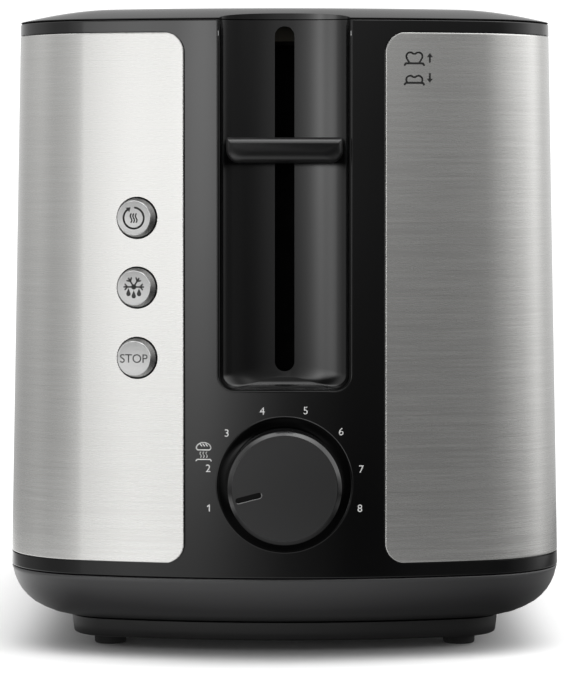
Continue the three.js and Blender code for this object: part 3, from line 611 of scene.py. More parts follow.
STEEL = brushed_metal(
    "brushed_steel", dark=(0.57, 0.567, 0.552), light=(0.67, 0.667, 0.652),
    roughness=0.27, spread=0.04, across=2600.0, anisotropy=0.6, depth=0.012,
)
GLOSS_BLACK = moulding(
    "gloss_black", dark=(0.001, 0.001, 0.0011), light=(0.0016, 0.0016, 0.0017),
    roughness=0.13, drift=0.05, grain=900.0, depth=0.02,
)
CHANNEL_GREY = moulding(
    "channel_grey", dark=(0.0018, 0.0018, 0.0019), light=(0.0026, 0.0026, 0.0027),
    roughness=0.15, drift=0.05, grain=2600.0, depth=0.05,
)
KNOB_EDGE = moulding(
    "knob_gloss_edge", dark=(0.006, 0.006, 0.0062), light=(0.009, 0.009, 0.0092),
    roughness=0.14, drift=0.04, grain=2000.0, depth=0.02,
)
# Pale grey of the painted highlight along the dial pointer's lower edge.
POINTER_HIGHLIGHT_PAINT = moulding(
    "pointer_painted_highlight", dark=(0.2, 0.2, 0.2), light=(0.26, 0.26, 0.26),
    roughness=0.3, drift=0.06, grain=2600.0, depth=0.05,
)
DIAL_FACE = moulding(
    "dial_face", dark=(0.012, 0.012, 0.0123), light=(0.015, 0.015, 0.0153),
    roughness=0.42, drift=0.05, grain=2600.0, depth=0.06,
)
KNOB_BLACK = moulding(
    "knob_satin", dark=(0.008, 0.008, 0.0083), light=(0.011, 0.011, 0.0113),
    roughness=0.3, drift=0.06, grain=3400.0, depth=0.08,
)
BASE_GREY = moulding(
    "base_grey", dark=(0.034, 0.034, 0.035), light=(0.042, 0.042, 0.043),
    roughness=0.32, drift=0.08, grain=2400.0, depth=0.12,
)
SATIN_BLACK = moulding(
    "satin_black", dark=(0.012, 0.012, 0.012), light=(0.018, 0.018, 0.018),
    roughness=0.45, drift=0.08, grain=2200.0, depth=0.15,
)
RUBBER = moulding(
    "rubber", dark=(0.014, 0.014, 0.014), light=(0.022, 0.022, 0.022),
    roughness=0.82, drift=0.1, grain=1800.0, depth=0.3,
)
CHROME = patchy(
    "bright_chrome", metallic=1.0, dark=(0.52, 0.52, 0.52), light=(0.6, 0.6, 0.6),
    roughness=0.16, size=60.0, depth=0.005,
)
BUTTON_FACE = patchy(
    "button_face", metallic=1.0, dark=(0.6, 0.6, 0.595), light=(0.68, 0.68, 0.675),
    roughness=0.42, size=2400.0, depth=0.06,
)
WIRE = patchy(
    "bright_wire", metallic=1.0, dark=(0.6, 0.6, 0.59), light=(0.74, 0.74, 0.73),
    roughness=0.22, size=400.0, depth=0.02,
)
ZINC = patchy(
    "zinc_sheet", metallic=1.0, dark=(0.42, 0.44, 0.46), light=(0.6, 0.61, 0.62),
    roughness=0.34, size=320.0, depth=0.05,
)
DARK_SHEET = patchy(
    "coated_sheet", metallic=0.3, dark=(0.006, 0.006, 0.006), light=(0.011, 0.011, 0.011),
    roughness=0.6, size=320.0, depth=0.05,
)
IRON = patchy(
    "soft_iron", metallic=1.0, dark=(0.22, 0.22, 0.23), light=(0.34, 0.34, 0.35),
    roughness=0.5, size=500.0, depth=0.1,
)
RIBBON = patchy(
    "heater_ribbon", metallic=1.0, dark=(0.16, 0.14, 0.13), light=(0.3, 0.27, 0.25),
    roughness=0.5, size=700.0, depth=0.08,
)
COPPER = brushed_metal(
    "copper_winding", dark=(0.45, 0.17, 0.06), light=(0.72, 0.31, 0.13),
    roughness=0.3, spread=0.1, across=3000.0, anisotropy=0.0, depth=0.6,
)
MICA = patchy(
    "mica_sheet", metallic=0.0, dark=(0.34, 0.28, 0.18), light=(0.62, 0.54, 0.38),
    roughness=0.42, size=260.0, depth=0.25, Coat_Weight=0.3,
)
CIRCUIT = patchy(
    "circuit_board", metallic=0.0, dark=(0.012, 0.08, 0.04), light=(0.02, 0.13, 0.06),
    roughness=0.35, size=600.0, depth=0.1,
)
CERAMIC = moulding(
    "cream_ceramic", dark=(0.62, 0.56, 0.44), light=(0.72, 0.66, 0.54),
    roughness=0.5, drift=0.1, grain=1500.0, depth=0.2,
)
BROWN_LEAD = moulding(
    "brown_sleeve", dark=(0.1, 0.04, 0.018), light=(0.14, 0.06, 0.028),
    roughness=0.5, drift=0.1, grain=1500.0, depth=0.1,
)
BLUE_LEAD = moulding(
    "blue_sleeve", dark=(0.015, 0.05, 0.17), light=(0.025, 0.075, 0.24),
    roughness=0.5, drift=0.1, grain=1500.0, depth=0.1,
)
WHITE_PRINT = moulding(
    "white_print", dark=(0.8, 0.8, 0.79), light=(0.88, 0.88, 0.87),
    roughness=0.5, drift=0.1, grain=2000.0, depth=0.05,
)
DARK_PRINT = moulding(
    "dark_print", dark=(0.006, 0.006, 0.006), light=(0.01, 0.01, 0.01),
    roughness=0.55, drift=0.1, grain=2000.0, depth=0.05,
)
GREY_PRINT = moulding(
    "grey_print", dark=(0.03, 0.03, 0.029), light=(0.045, 0.045, 0.044),
    roughness=0.5, drift=0.1, grain=2000.0, depth=0.05,
)


def dress(piece, body, material, slot, *nodes):
    """Gives a piece its material and body, and hides the CAD nodes it stands for. The slot argument is not
    used.
    """
    if material is not None:
        piece.data.materials.clear()
        piece.data.materials.append(material)
    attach(piece, body)
    if nodes:
        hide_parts(*nodes)
    return piece


# ------------------------------------------------------------------ steel wraps
def edge_roll(distance, radius):
    """How far a rolled sheet edge has dropped at a distance from its rim."""
    if distance >= radius:
        return 0.0
    return radius - math.sqrt(max(radius ** 2 - (radius - distance) ** 2, 0.0))


BOW_STEPS = 16
BEND_STEPS = 24


def wrap_columns(side, z, inwards, start_x):
    """One row of points round a wrap, from its front edge to its rear edge."""
    shrink = lean(z) + inwards
    radius = END_RADIUS - shrink
    start = math.asin(start_x / radius)
    columns = [start + near / radius for near in NEAR_EDGE]
    first = columns[-1]
    for i in range(1, BOW_STEPS + 1):
        columns.append(first + (TANGENT - first) * i / BOW_STEPS)
    half = [(radius * math.sin(a), -BOW_Y - radius * math.cos(a)) for a in columns]
    reach = CORNER_RADIUS - shrink
    for i in range(1, BEND_STEPS + 1):
        a = TANGENT + (math.pi / 2 - TANGENT) * i / BEND_STEPS
        half.append((CORNER_X + reach * math.sin(a), -CORNER_Y - reach * math.cos(a)))
    half += [(HALF_WIDTH - shrink, -CORNER_Y + CORNER_Y * k / 3) for k in range(1, 4)]
    points = half + [(x, -y) for x, y in reversed(half[:-1])]
    return [Vector((side * x, y + BODY_Y, z)) for x, y in points]


ROLL = 0.35 * MM
NEAR_EDGE = [0, 0.05 * MM, 0.13 * MM, 0.24 * MM, 0.36 * MM, 0.9 * MM, 2 * MM]


def wrap_heights():
    """Heights of the rows, close together where the corners are round."""
    height = STEEL_TOP - STEEL_LOW
    near = [0, 0.05, 0.13, 0.24, 0.36, 0.7, 1.1, 1.6, 2.2, 2.9, 3.7, 4.6, 5.5, 6.4]
    low = [d * MM for d in near]
    middle = [low[-1] + (height - 2 * low[-1]) * k / 12 for k in range(1, 12)]
    return low + middle + [height - d for d in reversed(low)]


def steel_wrap(side, name, node):
    """Brushed sheet round one side and its two corners, its edges rolled in."""
    height = STEEL_TOP - STEEL_LOW
    outer, inner = [], []
    for h in wrap_heights():
        z = STEEL_LOW + h
        to_edge = min(h, height - h)
        start_x = STRIP_X + edge_roll(to_edge, STEEL_CORNER)
        drop = edge_roll(to_edge, ROLL)
        row = wrap_columns(side, z, drop, start_x)
        count = len(row)
        for k, distance in enumerate(NEAR_EDGE):
            for place in (k, count - 1 - k):
                extra = max(edge_roll(distance, ROLL) - drop, 0.0)
                row[place] = moved_inwards(row[place], extra)
        outer.append(row)
        inner.append(wrap_columns(side, z, SHEET, start_x))
    piece = sheet_between(name, outer, inner)
    if side < 0:
        carve(piece, key_holes(KEY_HOLE))
    return dress(piece, "root", STEEL, "brushed_steel", node)


def moved_inwards(point, distance):
    """Moves a point of an end face towards the inside of the body."""
    sign = -1 if point.y < BODY_Y else 1
    centre = Vector((0, BODY_Y + sign * BOW_Y, point.z))
    return point + (centre - point).normalized() * distance


def sheet_between(name, outer, inner):
    """Closed sheet from two grids of points with the same rows and columns."""
    rows, columns = len(outer), len(outer[0])
    verts = [p for row in outer for p in row] + [p for row in inner for p in row]
    base = rows * columns
    faces = []
    for r in range(rows - 1):
        for c in range(columns - 1):
            a = r * columns + c
            faces.append((a, a + 1, a + columns + 1, a + columns))
            faces.append((base + a, base + a + columns, base + a + columns + 1, base + a + 1))
    rim = list(range(columns))
    rim += [r * columns + columns - 1 for r in range(1, rows)]
    rim += [(rows - 1) * columns + c for c in reversed(range(columns - 1))]
    rim += [r * columns for r in reversed(range(1, rows - 1))]
    for i, a in enumerate(rim):
        b = rim[(i + 1) % len(rim)]
        faces.append((a, base + a, base + b, b))
    return closed_piece(name, verts, faces, 40)


# ------------------------------------------------------------------ buttons
BUTTONS = ("reheat", "defrost", "stop")
KEY_HOLE = 6.8 * MM
COLLAR_HOLE = 8.3 * MM
KEY_REACH = 3.8 * MM
KEY_STEPS = 64


def button_place(index):
    """Surface point of a button, and its inward direction."""
    joint = next(j for j in frame["joints"] if j["name"] == BUTTONS[index] + "_press")
    inward = Vector(joint["axis"]).normalized()
    low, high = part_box(BUTTONS[index] + "_collar")
    z = (low.z + high.z) / 2
    x = -(END_RADIUS - lean(z)) * inward.x
    return Vector((x, front_y(x, z)[0], z)), inward


def along_axis(name, profile, origin, inward):
    """Turned shape whose axis starts at origin and runs inwards."""
    piece = turned(name, profile, (0, 0, 0), "Y", KEY_STEPS)
    turn = Vector((0, 1, 0)).rotation_difference(inward)
    piece.data.transform(Matrix.Translation(origin) @ turn.to_matrix().to_4x4())
    return piece


def key_holes(radius):
    """Cutters through the skin and the steel for the three keys."""
    ends = ((radius, -6 * MM), (radius, 9 * MM))
    return [along_axis("tool", ends, *button_place(index)) for index in range(3)]


def button(index):
    """A key: chrome rim, satin face with its mark, and a stem to its switch."""
    name = BUTTONS[index]
    origin, inward = button_place(index)
    face, base, fillet = 5.6 * MM, 6.4 * MM, 0.3 * MM
    profile = [(0.02 * MM, -KEY_REACH + 0.04 * MM), (face - fillet, -KEY_REACH + 0.02 * MM)]
    profile += arc(face - fillet, -KEY_REACH + fillet, fillet, -78, -8, 6)
    profile += [(base - 0.1 * MM, -0.9 * MM), (base, -0.3 * MM), (base, 1.9 * MM), (2.2 * MM, 2 * MM)]
    stem_end = (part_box(name + "_button")[1].y - origin.y) / inward.y - 0.6 * MM
    profile += [(2.2 * MM, stem_end), (0.02 * MM, stem_end)]
    cap = along_axis(name + "_key", profile, origin, inward)
    cap.data.materials.append(CHROME)
    cap.data.materials.append(BUTTON_FACE)
    for polygon in cap.data.polygons:
        toward = polygon.center - origin
        radial = (toward - inward * toward.dot(inward)).length
        if polygon.normal.dot(inward) < -0.97 and radial < face:
            polygon.material_index = 1
    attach(cap, name + "_key")
    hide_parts(name + "_button")
    draw_on(name + "_mark", BUTTON_MARKS[name](), GREY_PRINT, name + "_key", "satin_black_plastic",
            lambda u, v: button_face_point(origin, inward, u, v), -inward)


def button_face_point(origin, inward, u, v):
    """Place on a key's face, u across it and v up it."""
    across = Vector((inward.y, -inward.x, 0))
    return origin - inward * (KEY_REACH - 0.04 * MM) + across * u + Vector((0, 0, v))


# ------------------------------------------------------------------ printed marks
def stroke(points, width):
    """A line of even width with round ends, as flat polygons."""
    shapes = []
    half = width / 2
    for (x0, y0), (x1, y1) in zip(points, points[1:]):
        length = math.hypot(x1 - x0, y1 - y0)
        if length < 1e-9:
            continue
        nx, ny = -(y1 - y0) / length * half, (x1 - x0) / length * half
        shapes.append([(x0 + nx, y0 + ny), (x0 - nx, y0 - ny), (x1 - nx, y1 - ny), (x1 + nx, y1 + ny)])
    for x, y in points:
        shapes.append(arc(x, y, half, 0, 330, 11))
    return shapes


def moved(shapes, dx, dy):
    """Shapes drawn round the origin, carried to another place."""
    return [[(x + dx, y + dy) for x, y in shape] for shape in shapes]


def draw_on(name, shapes, material, body, slot, place, outward):
    """Lays polygons, drawn in u and v, onto a surface as thin closed plates that face outwards."""
    verts, faces = [], []
    for shape in shapes:
        feet = [place(u, v) for u, v in shape]
        away = [outward(u, v) if callable(outward) else Vector(outward) for u, v in shape]
        spin = Vector((0, 0, 0))
        for here, following in zip(feet, feet[1:]):
            spin += (here - feet[0]).cross(following - feet[0])
        if spin.dot(away[0]) < 0:
            feet.reverse()
            away.reverse()
        start, count = len(verts), len(feet)
        for rise in (-0.01 * MM, 0.04 * MM):
            verts += [foot + up * rise for foot, up in zip(feet, away)]
        faces.append(tuple(range(start + count, start + 2 * count)))
        faces.append(tuple(reversed(range(start, start + count))))
        for i in range(count):
            j = (i + 1) % count
            faces.append((start + i, start + j, start + count + j, start + count + i))
    return dress(new_piece(name, verts, faces), body, material, slot)


def steam(height, width, sway):
    """One rising wisp: a soft S."""
    points = []
    for i in range(13):
        t = i / 12
        points.append((sway * math.sin(2 * math.pi * t), (t - 0.5) * height))
    return stroke(points, width)


def reheat_mark():
    """An open ring with an arrow head, round three wisps of steam."""
    ring = arc(0, 0, 3.35 * MM, 83, 83 - 318, 40)
    shapes = stroke(ring, 0.62 * MM)
    x, y = ring[-1]
    head = ((0.95, 0.72), (-0.75, 0.55), (0.5, -0.85))
    shapes.append([(x + u * MM, y + v * MM) for u, v in head])
    for offset in (-0.85, 0, 0.85):
        shapes += moved(steam(2.7 * MM, 0.44 * MM, 0.26 * MM), offset * MM, 0)
    return shapes


def drop_shape(cx, cy, size):
    """A falling drop, its point upwards."""
    points = arc(cx, cy, size, -200, 20, 16)
    points.append((cx, cy + 2.6 * size))
    return points


def defrost_mark():
    """The upper half of a snow crystal over three drops."""
    shapes = []
    centre = 0.35 * MM
    for angle in (0, 58, 122, 180):
        turn = math.radians(angle)
        tip = (3.2 * MM * math.cos(turn), centre + 3.2 * MM * math.sin(turn))
        shapes += stroke([(0, centre), tip], 0.52 * MM)
        for fork in (-48, 48):
            branch = math.radians(angle + fork)
            root = (2.1 * MM * math.cos(turn), centre + 2.1 * MM * math.sin(turn))
            end = (root[0] + 1.15 * MM * math.cos(branch), root[1] + 1.15 * MM * math.sin(branch))
            shapes += stroke([root, end], 0.48 * MM)
    shapes.append(arc(0, centre, 0.85 * MM, 0, 345, 20))
    for x, y in ((-1.75, -1.9), (0, -2.6), (1.75, -1.9)):
        shapes.append(drop_shape(x * MM, y * MM, 0.72 * MM))
    return shapes


def lettering(text, height, spacing=1.0):
    """Plain letters as flat polygons, centred on the origin, capitals of the given height."""
    curve = bpy.data.curves.new("letters", "FONT")
    curve.body = text
    curve.align_x = "CENTER"
    curve.space_character = spacing
    curve.resolution_u = 6
    letters = bpy.data.objects.new("letters", curve)
    bpy.context.scene.collection.objects.link(letters)
    graph = bpy.context.evaluated_depsgraph_get()
    graph.update()
    mesh = bpy.data.meshes.new_from_object(letters.evaluated_get(graph))
    ys = [v.co.y for v in mesh.vertices]
    xs = [v.co.x for v in mesh.vertices]
    scale = height / (max(ys) - min(ys))
    mid_x, mid_y = (max(xs) + min(xs)) / 2, (max(ys) + min(ys)) / 2
    shapes = []
    for polygon in mesh.polygons:
        corners = [mesh.vertices[i].co for i in polygon.vertices]
        shapes.append([((c.x - mid_x) * scale, (c.y - mid_y) * scale) for c in corners])
    bpy.data.objects.remove(letters)
    bpy.data.curves.remove(curve)
    bpy.data.meshes.remove(mesh)
    return shapes


def stop_mark():
    """The word on the key that ends the toasting."""
    return lettering("STOP", 2.75 * MM, 0.98)


BUTTON_MARKS = {"reheat": reheat_mark, "defrost": defrost_mark, "stop": stop_mark}


def face_print(name, shapes, material, slot):
    """Prints shapes, drawn in x and z, on the front face."""
    def place(x, z):
        return Vector((x, front_y(x, z)[0], z))

    def outward(x, z):
        angle = front_y(x, z)[1]
        return Vector((math.sin(angle), -math.cos(angle), 0))

    return draw_on(name, shapes, material, "root", slot, place, outward)


NUMERAL_RADIUS = 25.1 * MM
NUMERAL_ANGLES = (196.4, 167.0, 137.5, 106.6, 74.6, 44.0, 12.3, -16.6)


def one_mark(height):
    """A figure one with its flag."""
    top = height * 0.42
    return stroke([(-height * 0.26, top - height * 0.2), (0, top), (0, -top)], height * 0.16)


def dial_numbers():
    """Figures one to eight round the dial."""
    shapes = []
    for number, angle in enumerate(NUMERAL_ANGLES, start=1):
        turn = math.radians(angle)
        x = NUMERAL_RADIUS * math.cos(turn)
        z = DIAL_Z - 0.4 * MM + NUMERAL_RADIUS * math.sin(turn)
        figure = one_mark(2.35 * MM) if number == 1 else lettering(str(number), 2.4 * MM)
        shapes += moved(figure, x, z)
    face_print("dial_numbers", shapes, WHITE_PRINT, "gloss_black_plastic")


def bun_mark():
    """A bun over rising steam and a rack, beside the second setting."""
    cx, cz = -25.9 * MM, DIAL_Z + 11.6 * MM
    line = 0.34 * MM
    dome = arc(cx, cz, 2.35 * MM, 180, 0, 18)
    dome = [(x, cz + (y - cz) * 0.78) for x, y in dome]
    shapes = stroke(dome, line)
    low = ((-2.35, 0), (-1.9, -0.5), (1.9, -0.5), (2.35, 0))
    shapes += stroke([(cx + x * MM, cz + z * MM) for x, z in low], line)
    for offset in (-0.8, 0.1, 1.0):
        start = (cx + offset * MM - 0.3 * MM, cz + 1.35 * MM)
        shapes += stroke([start, (start[0] + 0.5 * MM, start[1] - 0.6 * MM)], line)
    for offset in (-0.95, 0, 0.95):
        shapes += moved(steam(1.7 * MM, 0.3 * MM, 0.2 * MM), cx + offset * MM, cz - 2.05 * MM)
    rack_z = cz - 3.55 * MM
    rack = [(cx - 2.45 * MM, rack_z - 0.45 * MM), (cx - 2.1 * MM, rack_z), (cx + 2.1 * MM, rack_z)]
    shapes += stroke(rack + [(cx + 2.45 * MM, rack_z - 0.45 * MM)], line)
    face_print("bun_mark", shapes, WHITE_PRINT, "gloss_black_plastic")


def bread_outline(height, waist):
    """A slice seen from the front: two lobes over a narrower foot."""
    half = 2.55 * MM
    lobes = arc(-half * 0.52, height * 0.62, half * 0.5, 215, 40, 9)
    lobes += arc(half * 0.52, height * 0.62, half * 0.5, 140, -35, 9)
    return [(-waist, 0)] + lobes + [(waist, 0)]


def slice_mark(centre_x, base_z, height, waist, arrow):
    """A slice on its rack, beside an arrow that points up (1) or down (-1)."""
    line = 0.56 * MM
    shapes = stroke([(x + centre_x, z + base_z) for x, z in bread_outline(height, waist)], line)
    rack = [(-3.1 * MM, -0.5 * MM), (-2.7 * MM, 0), (2.7 * MM, 0), (3.1 * MM, -0.5 * MM)]
    shapes += stroke([(x + centre_x, z + base_z) for x, z in rack], line * 1.15)
    ax = centre_x + 5.0 * MM
    mid = base_z + 1.7 * MM
    tip, tail = mid + arrow * 1.25 * MM, mid - arrow * 1.2 * MM
    shapes += stroke([(ax, tail), (ax, tip - arrow * 0.6 * MM)], 0.6 * MM)
    barb = tip - arrow * 0.9 * MM
    shapes.append([(ax - 0.95 * MM, barb), (ax + 0.95 * MM, barb), (ax, tip + arrow * 0.4 * MM)])
    return shapes


def lever_marks():
    """Slice up and slice down, beside the lever."""
    x = 41.4 * MM
    up = slice_mark(x, STEEL_TOP - 9.9 * MM, 3.6 * MM, 1.5 * MM, 1)
    down = slice_mark(x, STEEL_TOP - 16.1 * MM, 1.6 * MM, 2.1 * MM, -1)
    face_print("lever_marks", up + down, DARK_PRINT, "satin_black_plastic")


# ------------------------------------------------------------------ black mouldings
def wrap_window(side, margin, z_margin):
    """Prism along Y of the outline that a steel wrap fills."""
    r = STEEL_CORNER + margin
    inner, outer = STRIP_X - margin, HALF_WIDTH * 1.5
    z0, z1 = STEEL_LOW - z_margin, STEEL_TOP + z_margin
    outline = arc(inner + r, z0 + r, r, 270, 180, 14) + arc(inner + r, z1 - r, r, 180, 90, 14)
    outline += [(outer, z1), (outer, z0)]
    outline = [(side * x, z) for x, z in outline]
    return prism_along_y("tool", outline, BODY_Y - HALF_LENGTH * 1.2, BODY_Y + HALF_LENGTH * 1.2)


def channel_outline(margin, top):
    """The channel's opening in the face, from its upper left round its foot to its upper right."""
    half = CHANNEL_HALF - margin
    r = max(CHANNEL_CORNER - margin, 0.8 * MM)
    z0 = CHANNEL_LOW + margin
    points = [(-half, top)]
    points += arc(-half + r, z0 + r, r, 180, 270, 12)
    points += arc(half - r, z0 + r, r, 270, 360, 12)
    return points + [(half, top)]


def channel_hollow(top):
    """The hollow that the lever travels in: its section is a wide, soft U, and its foot is rounded."""
    rim = 0.25 * MM
    opening = channel_outline(GAP + rim, top)
    foot = CHANNEL_LOW + GAP + rim
    height = top - foot
    rings = [[(x, front_y(0, z)[0] - 8 * MM, z) for x, z in opening]]
    steps = 26
    for i in range(steps):
        turn = math.pi / 2 * i / steps
        width = math.cos(turn) ** (2 / CHANNEL_POWER)
        depth = CHANNEL_DEPTH * math.sin(turn) ** (2 / CHANNEL_POWER)
        rise = CHANNEL_FOOT * (1 - width)
        ring = []
        for x, z in opening:
            height_here = top - (top - z) * (height - rise) / height
            ring.append((x * width, front_y(0, height_here)[0] + depth, height_here))
        rings.append(ring)
    return ring_solid("tool", rings, 40)


def dish_tool():
    """Shallow dish round the dial: its rim follows the bowed face, its floor is flat."""
    floor = front_y(0, DIAL_Z)[0] + DISH_DEPTH
    profile = ((0.4, -6.0, 1.0), (0.0, 0.0, 1.0), (-0.5, 0.28, 1.0), (-1.2, 0.6, 0.95), (-2.2, 0.95, 0.7),
               (-3.2, 1.2, 0.35), (-4.2, 0.0, 0.0), (-21.5, 0.0, 0.0))
    rings = []
    for outwards, depth, follow in profile:
        ring = []
        for x, z in arc(0, DIAL_Z, DISH_RADIUS + outwards * MM, 0, 356.25, 95):
            face = front_y(x, z)[0] + depth * MM
            ring.append((x, face * follow + floor * (1 - follow), z))
        rings.append(ring)
    return ring_solid("tool", rings, 50)


def round_tool(radius, z, y0, y1):
    """Drill along Y, in the middle of an end face."""
    return turned("tool", [(radius, y0), (radius, y1)], (0, 0, z), "Y", 48)


def skin_ring():
    """The whole black skin: outer wall, hollow inside, with the recess for the steel."""
    outer = loft("skin", softened(panel_low.z, panel_high.z, 0.0, 0.35 * MM))
    inner = loft("tool", [
        (panel_low.z - MM, lean(panel_low.z) + SKIN), (panel_high.z + MM, lean(panel_high.z) + SKIN)])
    carve(outer, [inner])
    depth = SHEET + GAP
    for side in (-1, 1):
        seat = loft("seat", [(STEEL_LOW - MM, -2 * MM), (STEEL_TOP + MM, -2 * MM)])
        core = loft("tool", [(z, lean(z) + depth) for z in (STEEL_LOW - 2 * MM, STEEL_TOP + 2 * MM)])
        carve(seat, [core])
        carve(seat, [wrap_window(side, 0.55 * MM, GAP)], "INTERSECT")
        carve(outer, [seat])
    return outer


def part_of(whole, name, low, high):
    """The part of the skin that lies in a box."""
    piece = adopt(name, whole.data.copy())
    carve(piece, [box_tool(low, high)], "INTERSECT")
    return piece


def opening_beads():
    """Rounded lips of the channel opening and of the dish, standing just proud of the face."""
    top = panel_high.z
    path = [(x, front_y(x, z)[0] + 0.16 * MM, z) for x, z in channel_outline(-0.05 * MM, top)]
    full = []
    for a, b in zip(path, path[1:]):
        steps = max(1, int(math.dist(a, b) / (4 * MM)))
        full += [tuple(Vector(a).lerp(Vector(b), k / steps)) for k in range(steps)]
    full.append(path[-1])
    full = [(x, front_y(x, z)[0] + 0.16 * MM, z) for x, _, z in full]
    lip = tube("channel_lip", full, 0.3 * MM, 10)
    ring = []
    for x, z in arc(0, DIAL_Z, DISH_RADIUS + 0.12 * MM, 0, 356.25, 95):
        ring.append((x, front_y(x, z)[0] + 0.12 * MM, z))
    rim = tube("dish_lip", ring, 0.32 * MM, 10, True)
    for piece in (lip, rim):
        dress(piece, "root", GLOSS_BLACK, "gloss_black_plastic")


AHEAD = -0.2
BEYOND = 0.4
DIAL_STEM_HOLE = 3.8 * MM
GLAND_HOLE = 5.3 * MM
TRACK_HALF = 3.15 * MM


def black_mouldings():
    """The skin, parted into front and rear mouldings and the two linings behind the steel."""
    whole = skin_ring()
    front = part_of(whole, "front_moulding", (-BEYOND, -BEYOND, 0), (BEYOND, FRONT_SPLIT - GAP / 2, BEYOND))
    tools = [dish_tool(), round_tool(DIAL_STEM_HOLE, DIAL_Z, AHEAD, -0.12)]
    top = panel_high.z + 20 * MM
    tools.append(prism_along_y("tool", channel_outline(0, top), AHEAD, BODY_Y - HALF_LENGTH + 13 * MM))
    tools += key_holes(COLLAR_HOLE)
    carve(front, tools)
    dress(front, "root", GLOSS_BLACK, "gloss_black_plastic", "front_panel")
    rear = part_of(whole, "rear_moulding", (-BEYOND, REAR_SPLIT + GAP / 2, 0), (BEYOND, BEYOND, BEYOND))
    gland_z = (gland_low.z + gland_high.z) / 2
    carve(rear, [round_tool(GLAND_HOLE, gland_z, 0.12, 0.2)])
    dress(rear, "root", GLOSS_BLACK, "gloss_black_plastic", "rear_panel")
    for name, x0, x1 in (("left", -BEYOND, 0), ("right", 0, BEYOND)):
        low, high = (x0, FRONT_SPLIT + GAP / 2, 0), (x1, REAR_SPLIT - GAP / 2, BEYOND)
        liner = part_of(whole, "side_rail_" + name, low, high)
        dress(liner, "root", GLOSS_BLACK, "gloss_black_plastic", "side_liner_" + name)
    bpy.data.objects.remove(whole)
    opening_beads()


def lever_channel():
    """Channel insert: a tub with a rounded rim, open at the top, slotted for the lever stem."""
    top = channel_high.z
    back = channel_high.y
    outline = channel_outline(GAP, top)
    rim = [(x * 0.996, front_y(x, z)[0] + 0.05 * MM, z + (0.12 * MM if z < top else 0)) for x, z in outline]
    wall = [(x, front_y(x, z)[0] + 0.35 * MM, z) for x, z in outline]
    tub = ring_solid("channel_tub", [rim, wall, [(x, back, z) for x, z in outline]], 40)
    slot_low = CHANNEL_LOW + 6.1 * MM
    slot_top = panel_high.z - 1.85 * MM
    r = TRACK_HALF
    outline = arc(0, slot_low + r, r, 180, 360, 16) + arc(0, slot_top - r, r, 0, 180, 16)
    slot = prism_along_y("tool", outline, AHEAD, 0.0, 40)
    carve(tub, [channel_hollow(crown_z() + 20 * MM), slot])
    dress(tub, "root", CHANNEL_GREY, "dark_grey_plastic", "lever_channel")


# ------------------------------------------------------------------ top cover
def crown_z():
    """Height of the top of the cover."""
    return cover_high.z


COVER_RISE = 5.35 * MM
SHOULDER = 30 * MM
SLOT_BEAD = 0.6 * MM
SLOT_X = 30 * MM
SLOT_HALF = 17 * MM
oven_low, oven_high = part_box("heater_board_inner_right")
SLOT_FRONT = oven_low.y + 9.7 * MM
SLOT_REAR = oven_high.y - 9.7 * MM

bun_low, bun_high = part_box("bun_rack_right")
BUN_WIRE = 1.4 * MM
BUN_BEND = 3 * MM
GROOVE_WIDTH = 3.5 * MM
GROOVE_PLAY = 0.35 * MM
GROOVE_DROP = 1.65 * MM


def cover_levels():
    """Levels of the cover: a small rounded rim, then a crown that flattens towards the middle."""
    base = cover_low.z
    edge = lean(base) + 0.05 * MM
    levels = [(base, edge + 0.3 * MM), (base + 0.1 * MM, edge + 0.08 * MM), (base + 0.3 * MM, edge)]
    steps = 26
    rise = COVER_RISE - SLOT_BEAD
    for i in range(1, steps + 1):
        t = (i / steps) ** 1.6
        height = 0.3 * MM + (rise - 0.3 * MM) * (1 - (1 - t) ** 1.7)
        levels.append((base + height, edge + SHOULDER * t))
    return levels


def slot_rectangle(side, margin, radius):
    """Outline of a bread slot, grown outwards by a margin."""
    middle, half = side * SLOT_X, SLOT_HALF + margin
    return round_rectangle(middle - half, middle + half, SLOT_FRONT - margin, SLOT_REAR + margin, radius)


def round_rectangle(x0, x1, y0, y1, radius):
    """Outline of a rectangle with round corners."""
    near_x, far_x, near_y, far_y = x0 + radius, x1 - radius, y0 + radius, y1 - radius
    points = arc(far_x, far_y, radius, 0, 90, 8) + arc(near_x, far_y, radius, 90, 180, 8)
    return points + arc(near_x, near_y, radius, 180, 270, 8) + arc(far_x, near_y, radius, 270, 360, 8)


def bun_path(side):
    """Centre line of a folded bun-rack frame, with bent corners."""
    x0, x1 = bun_low.x + BUN_WIRE, bun_high.x - BUN_WIRE
    y0, y1 = bun_low.y + BUN_WIRE, bun_high.y - BUN_WIRE
    z0, z1 = bun_high.z - BUN_WIRE, bun_low.z + BUN_WIRE
    flat = round_rectangle(x0, x1, y0, y1, BUN_BEND)
    return [(side * x, y, z0 + (z1 - z0) * (x - x0) / (x1 - x0)) for x, y in flat]


def bun_groove(side):
    """Moulded groove that a folded frame lies in: a ring of even width."""
    outer = groove_rim(side, -GROOVE_PLAY)
    inner = groove_rim(side, GROOVE_WIDTH - GROOVE_PLAY)
    # The first point is on the outer rail, and the seventeenth where the corner meets the inner rail.
    path = bun_path(1)
    outer_z, inner_z = path[0][2] - GROOVE_DROP, path[16][2] - GROOVE_DROP
    block = groove_prism(outer, outer_z, inner_z)
    island = groove_prism(inner, outer_z - 3 * MM, inner_z - 3 * MM)
    carve(block, [island])
    return block


def groove_rim(side, margin):
    """Outline of the folded frame, moved inwards by a margin."""
    radius = max(BUN_BEND + BUN_WIRE - margin, 0.6 * MM)
    x0, x1 = bun_low.x + margin, bun_high.x - margin
    y0, y1 = bun_low.y + margin, bun_high.y - margin
    return [(side * x, y) for x, y in round_rectangle(x0, x1, y0, y1, radius)]


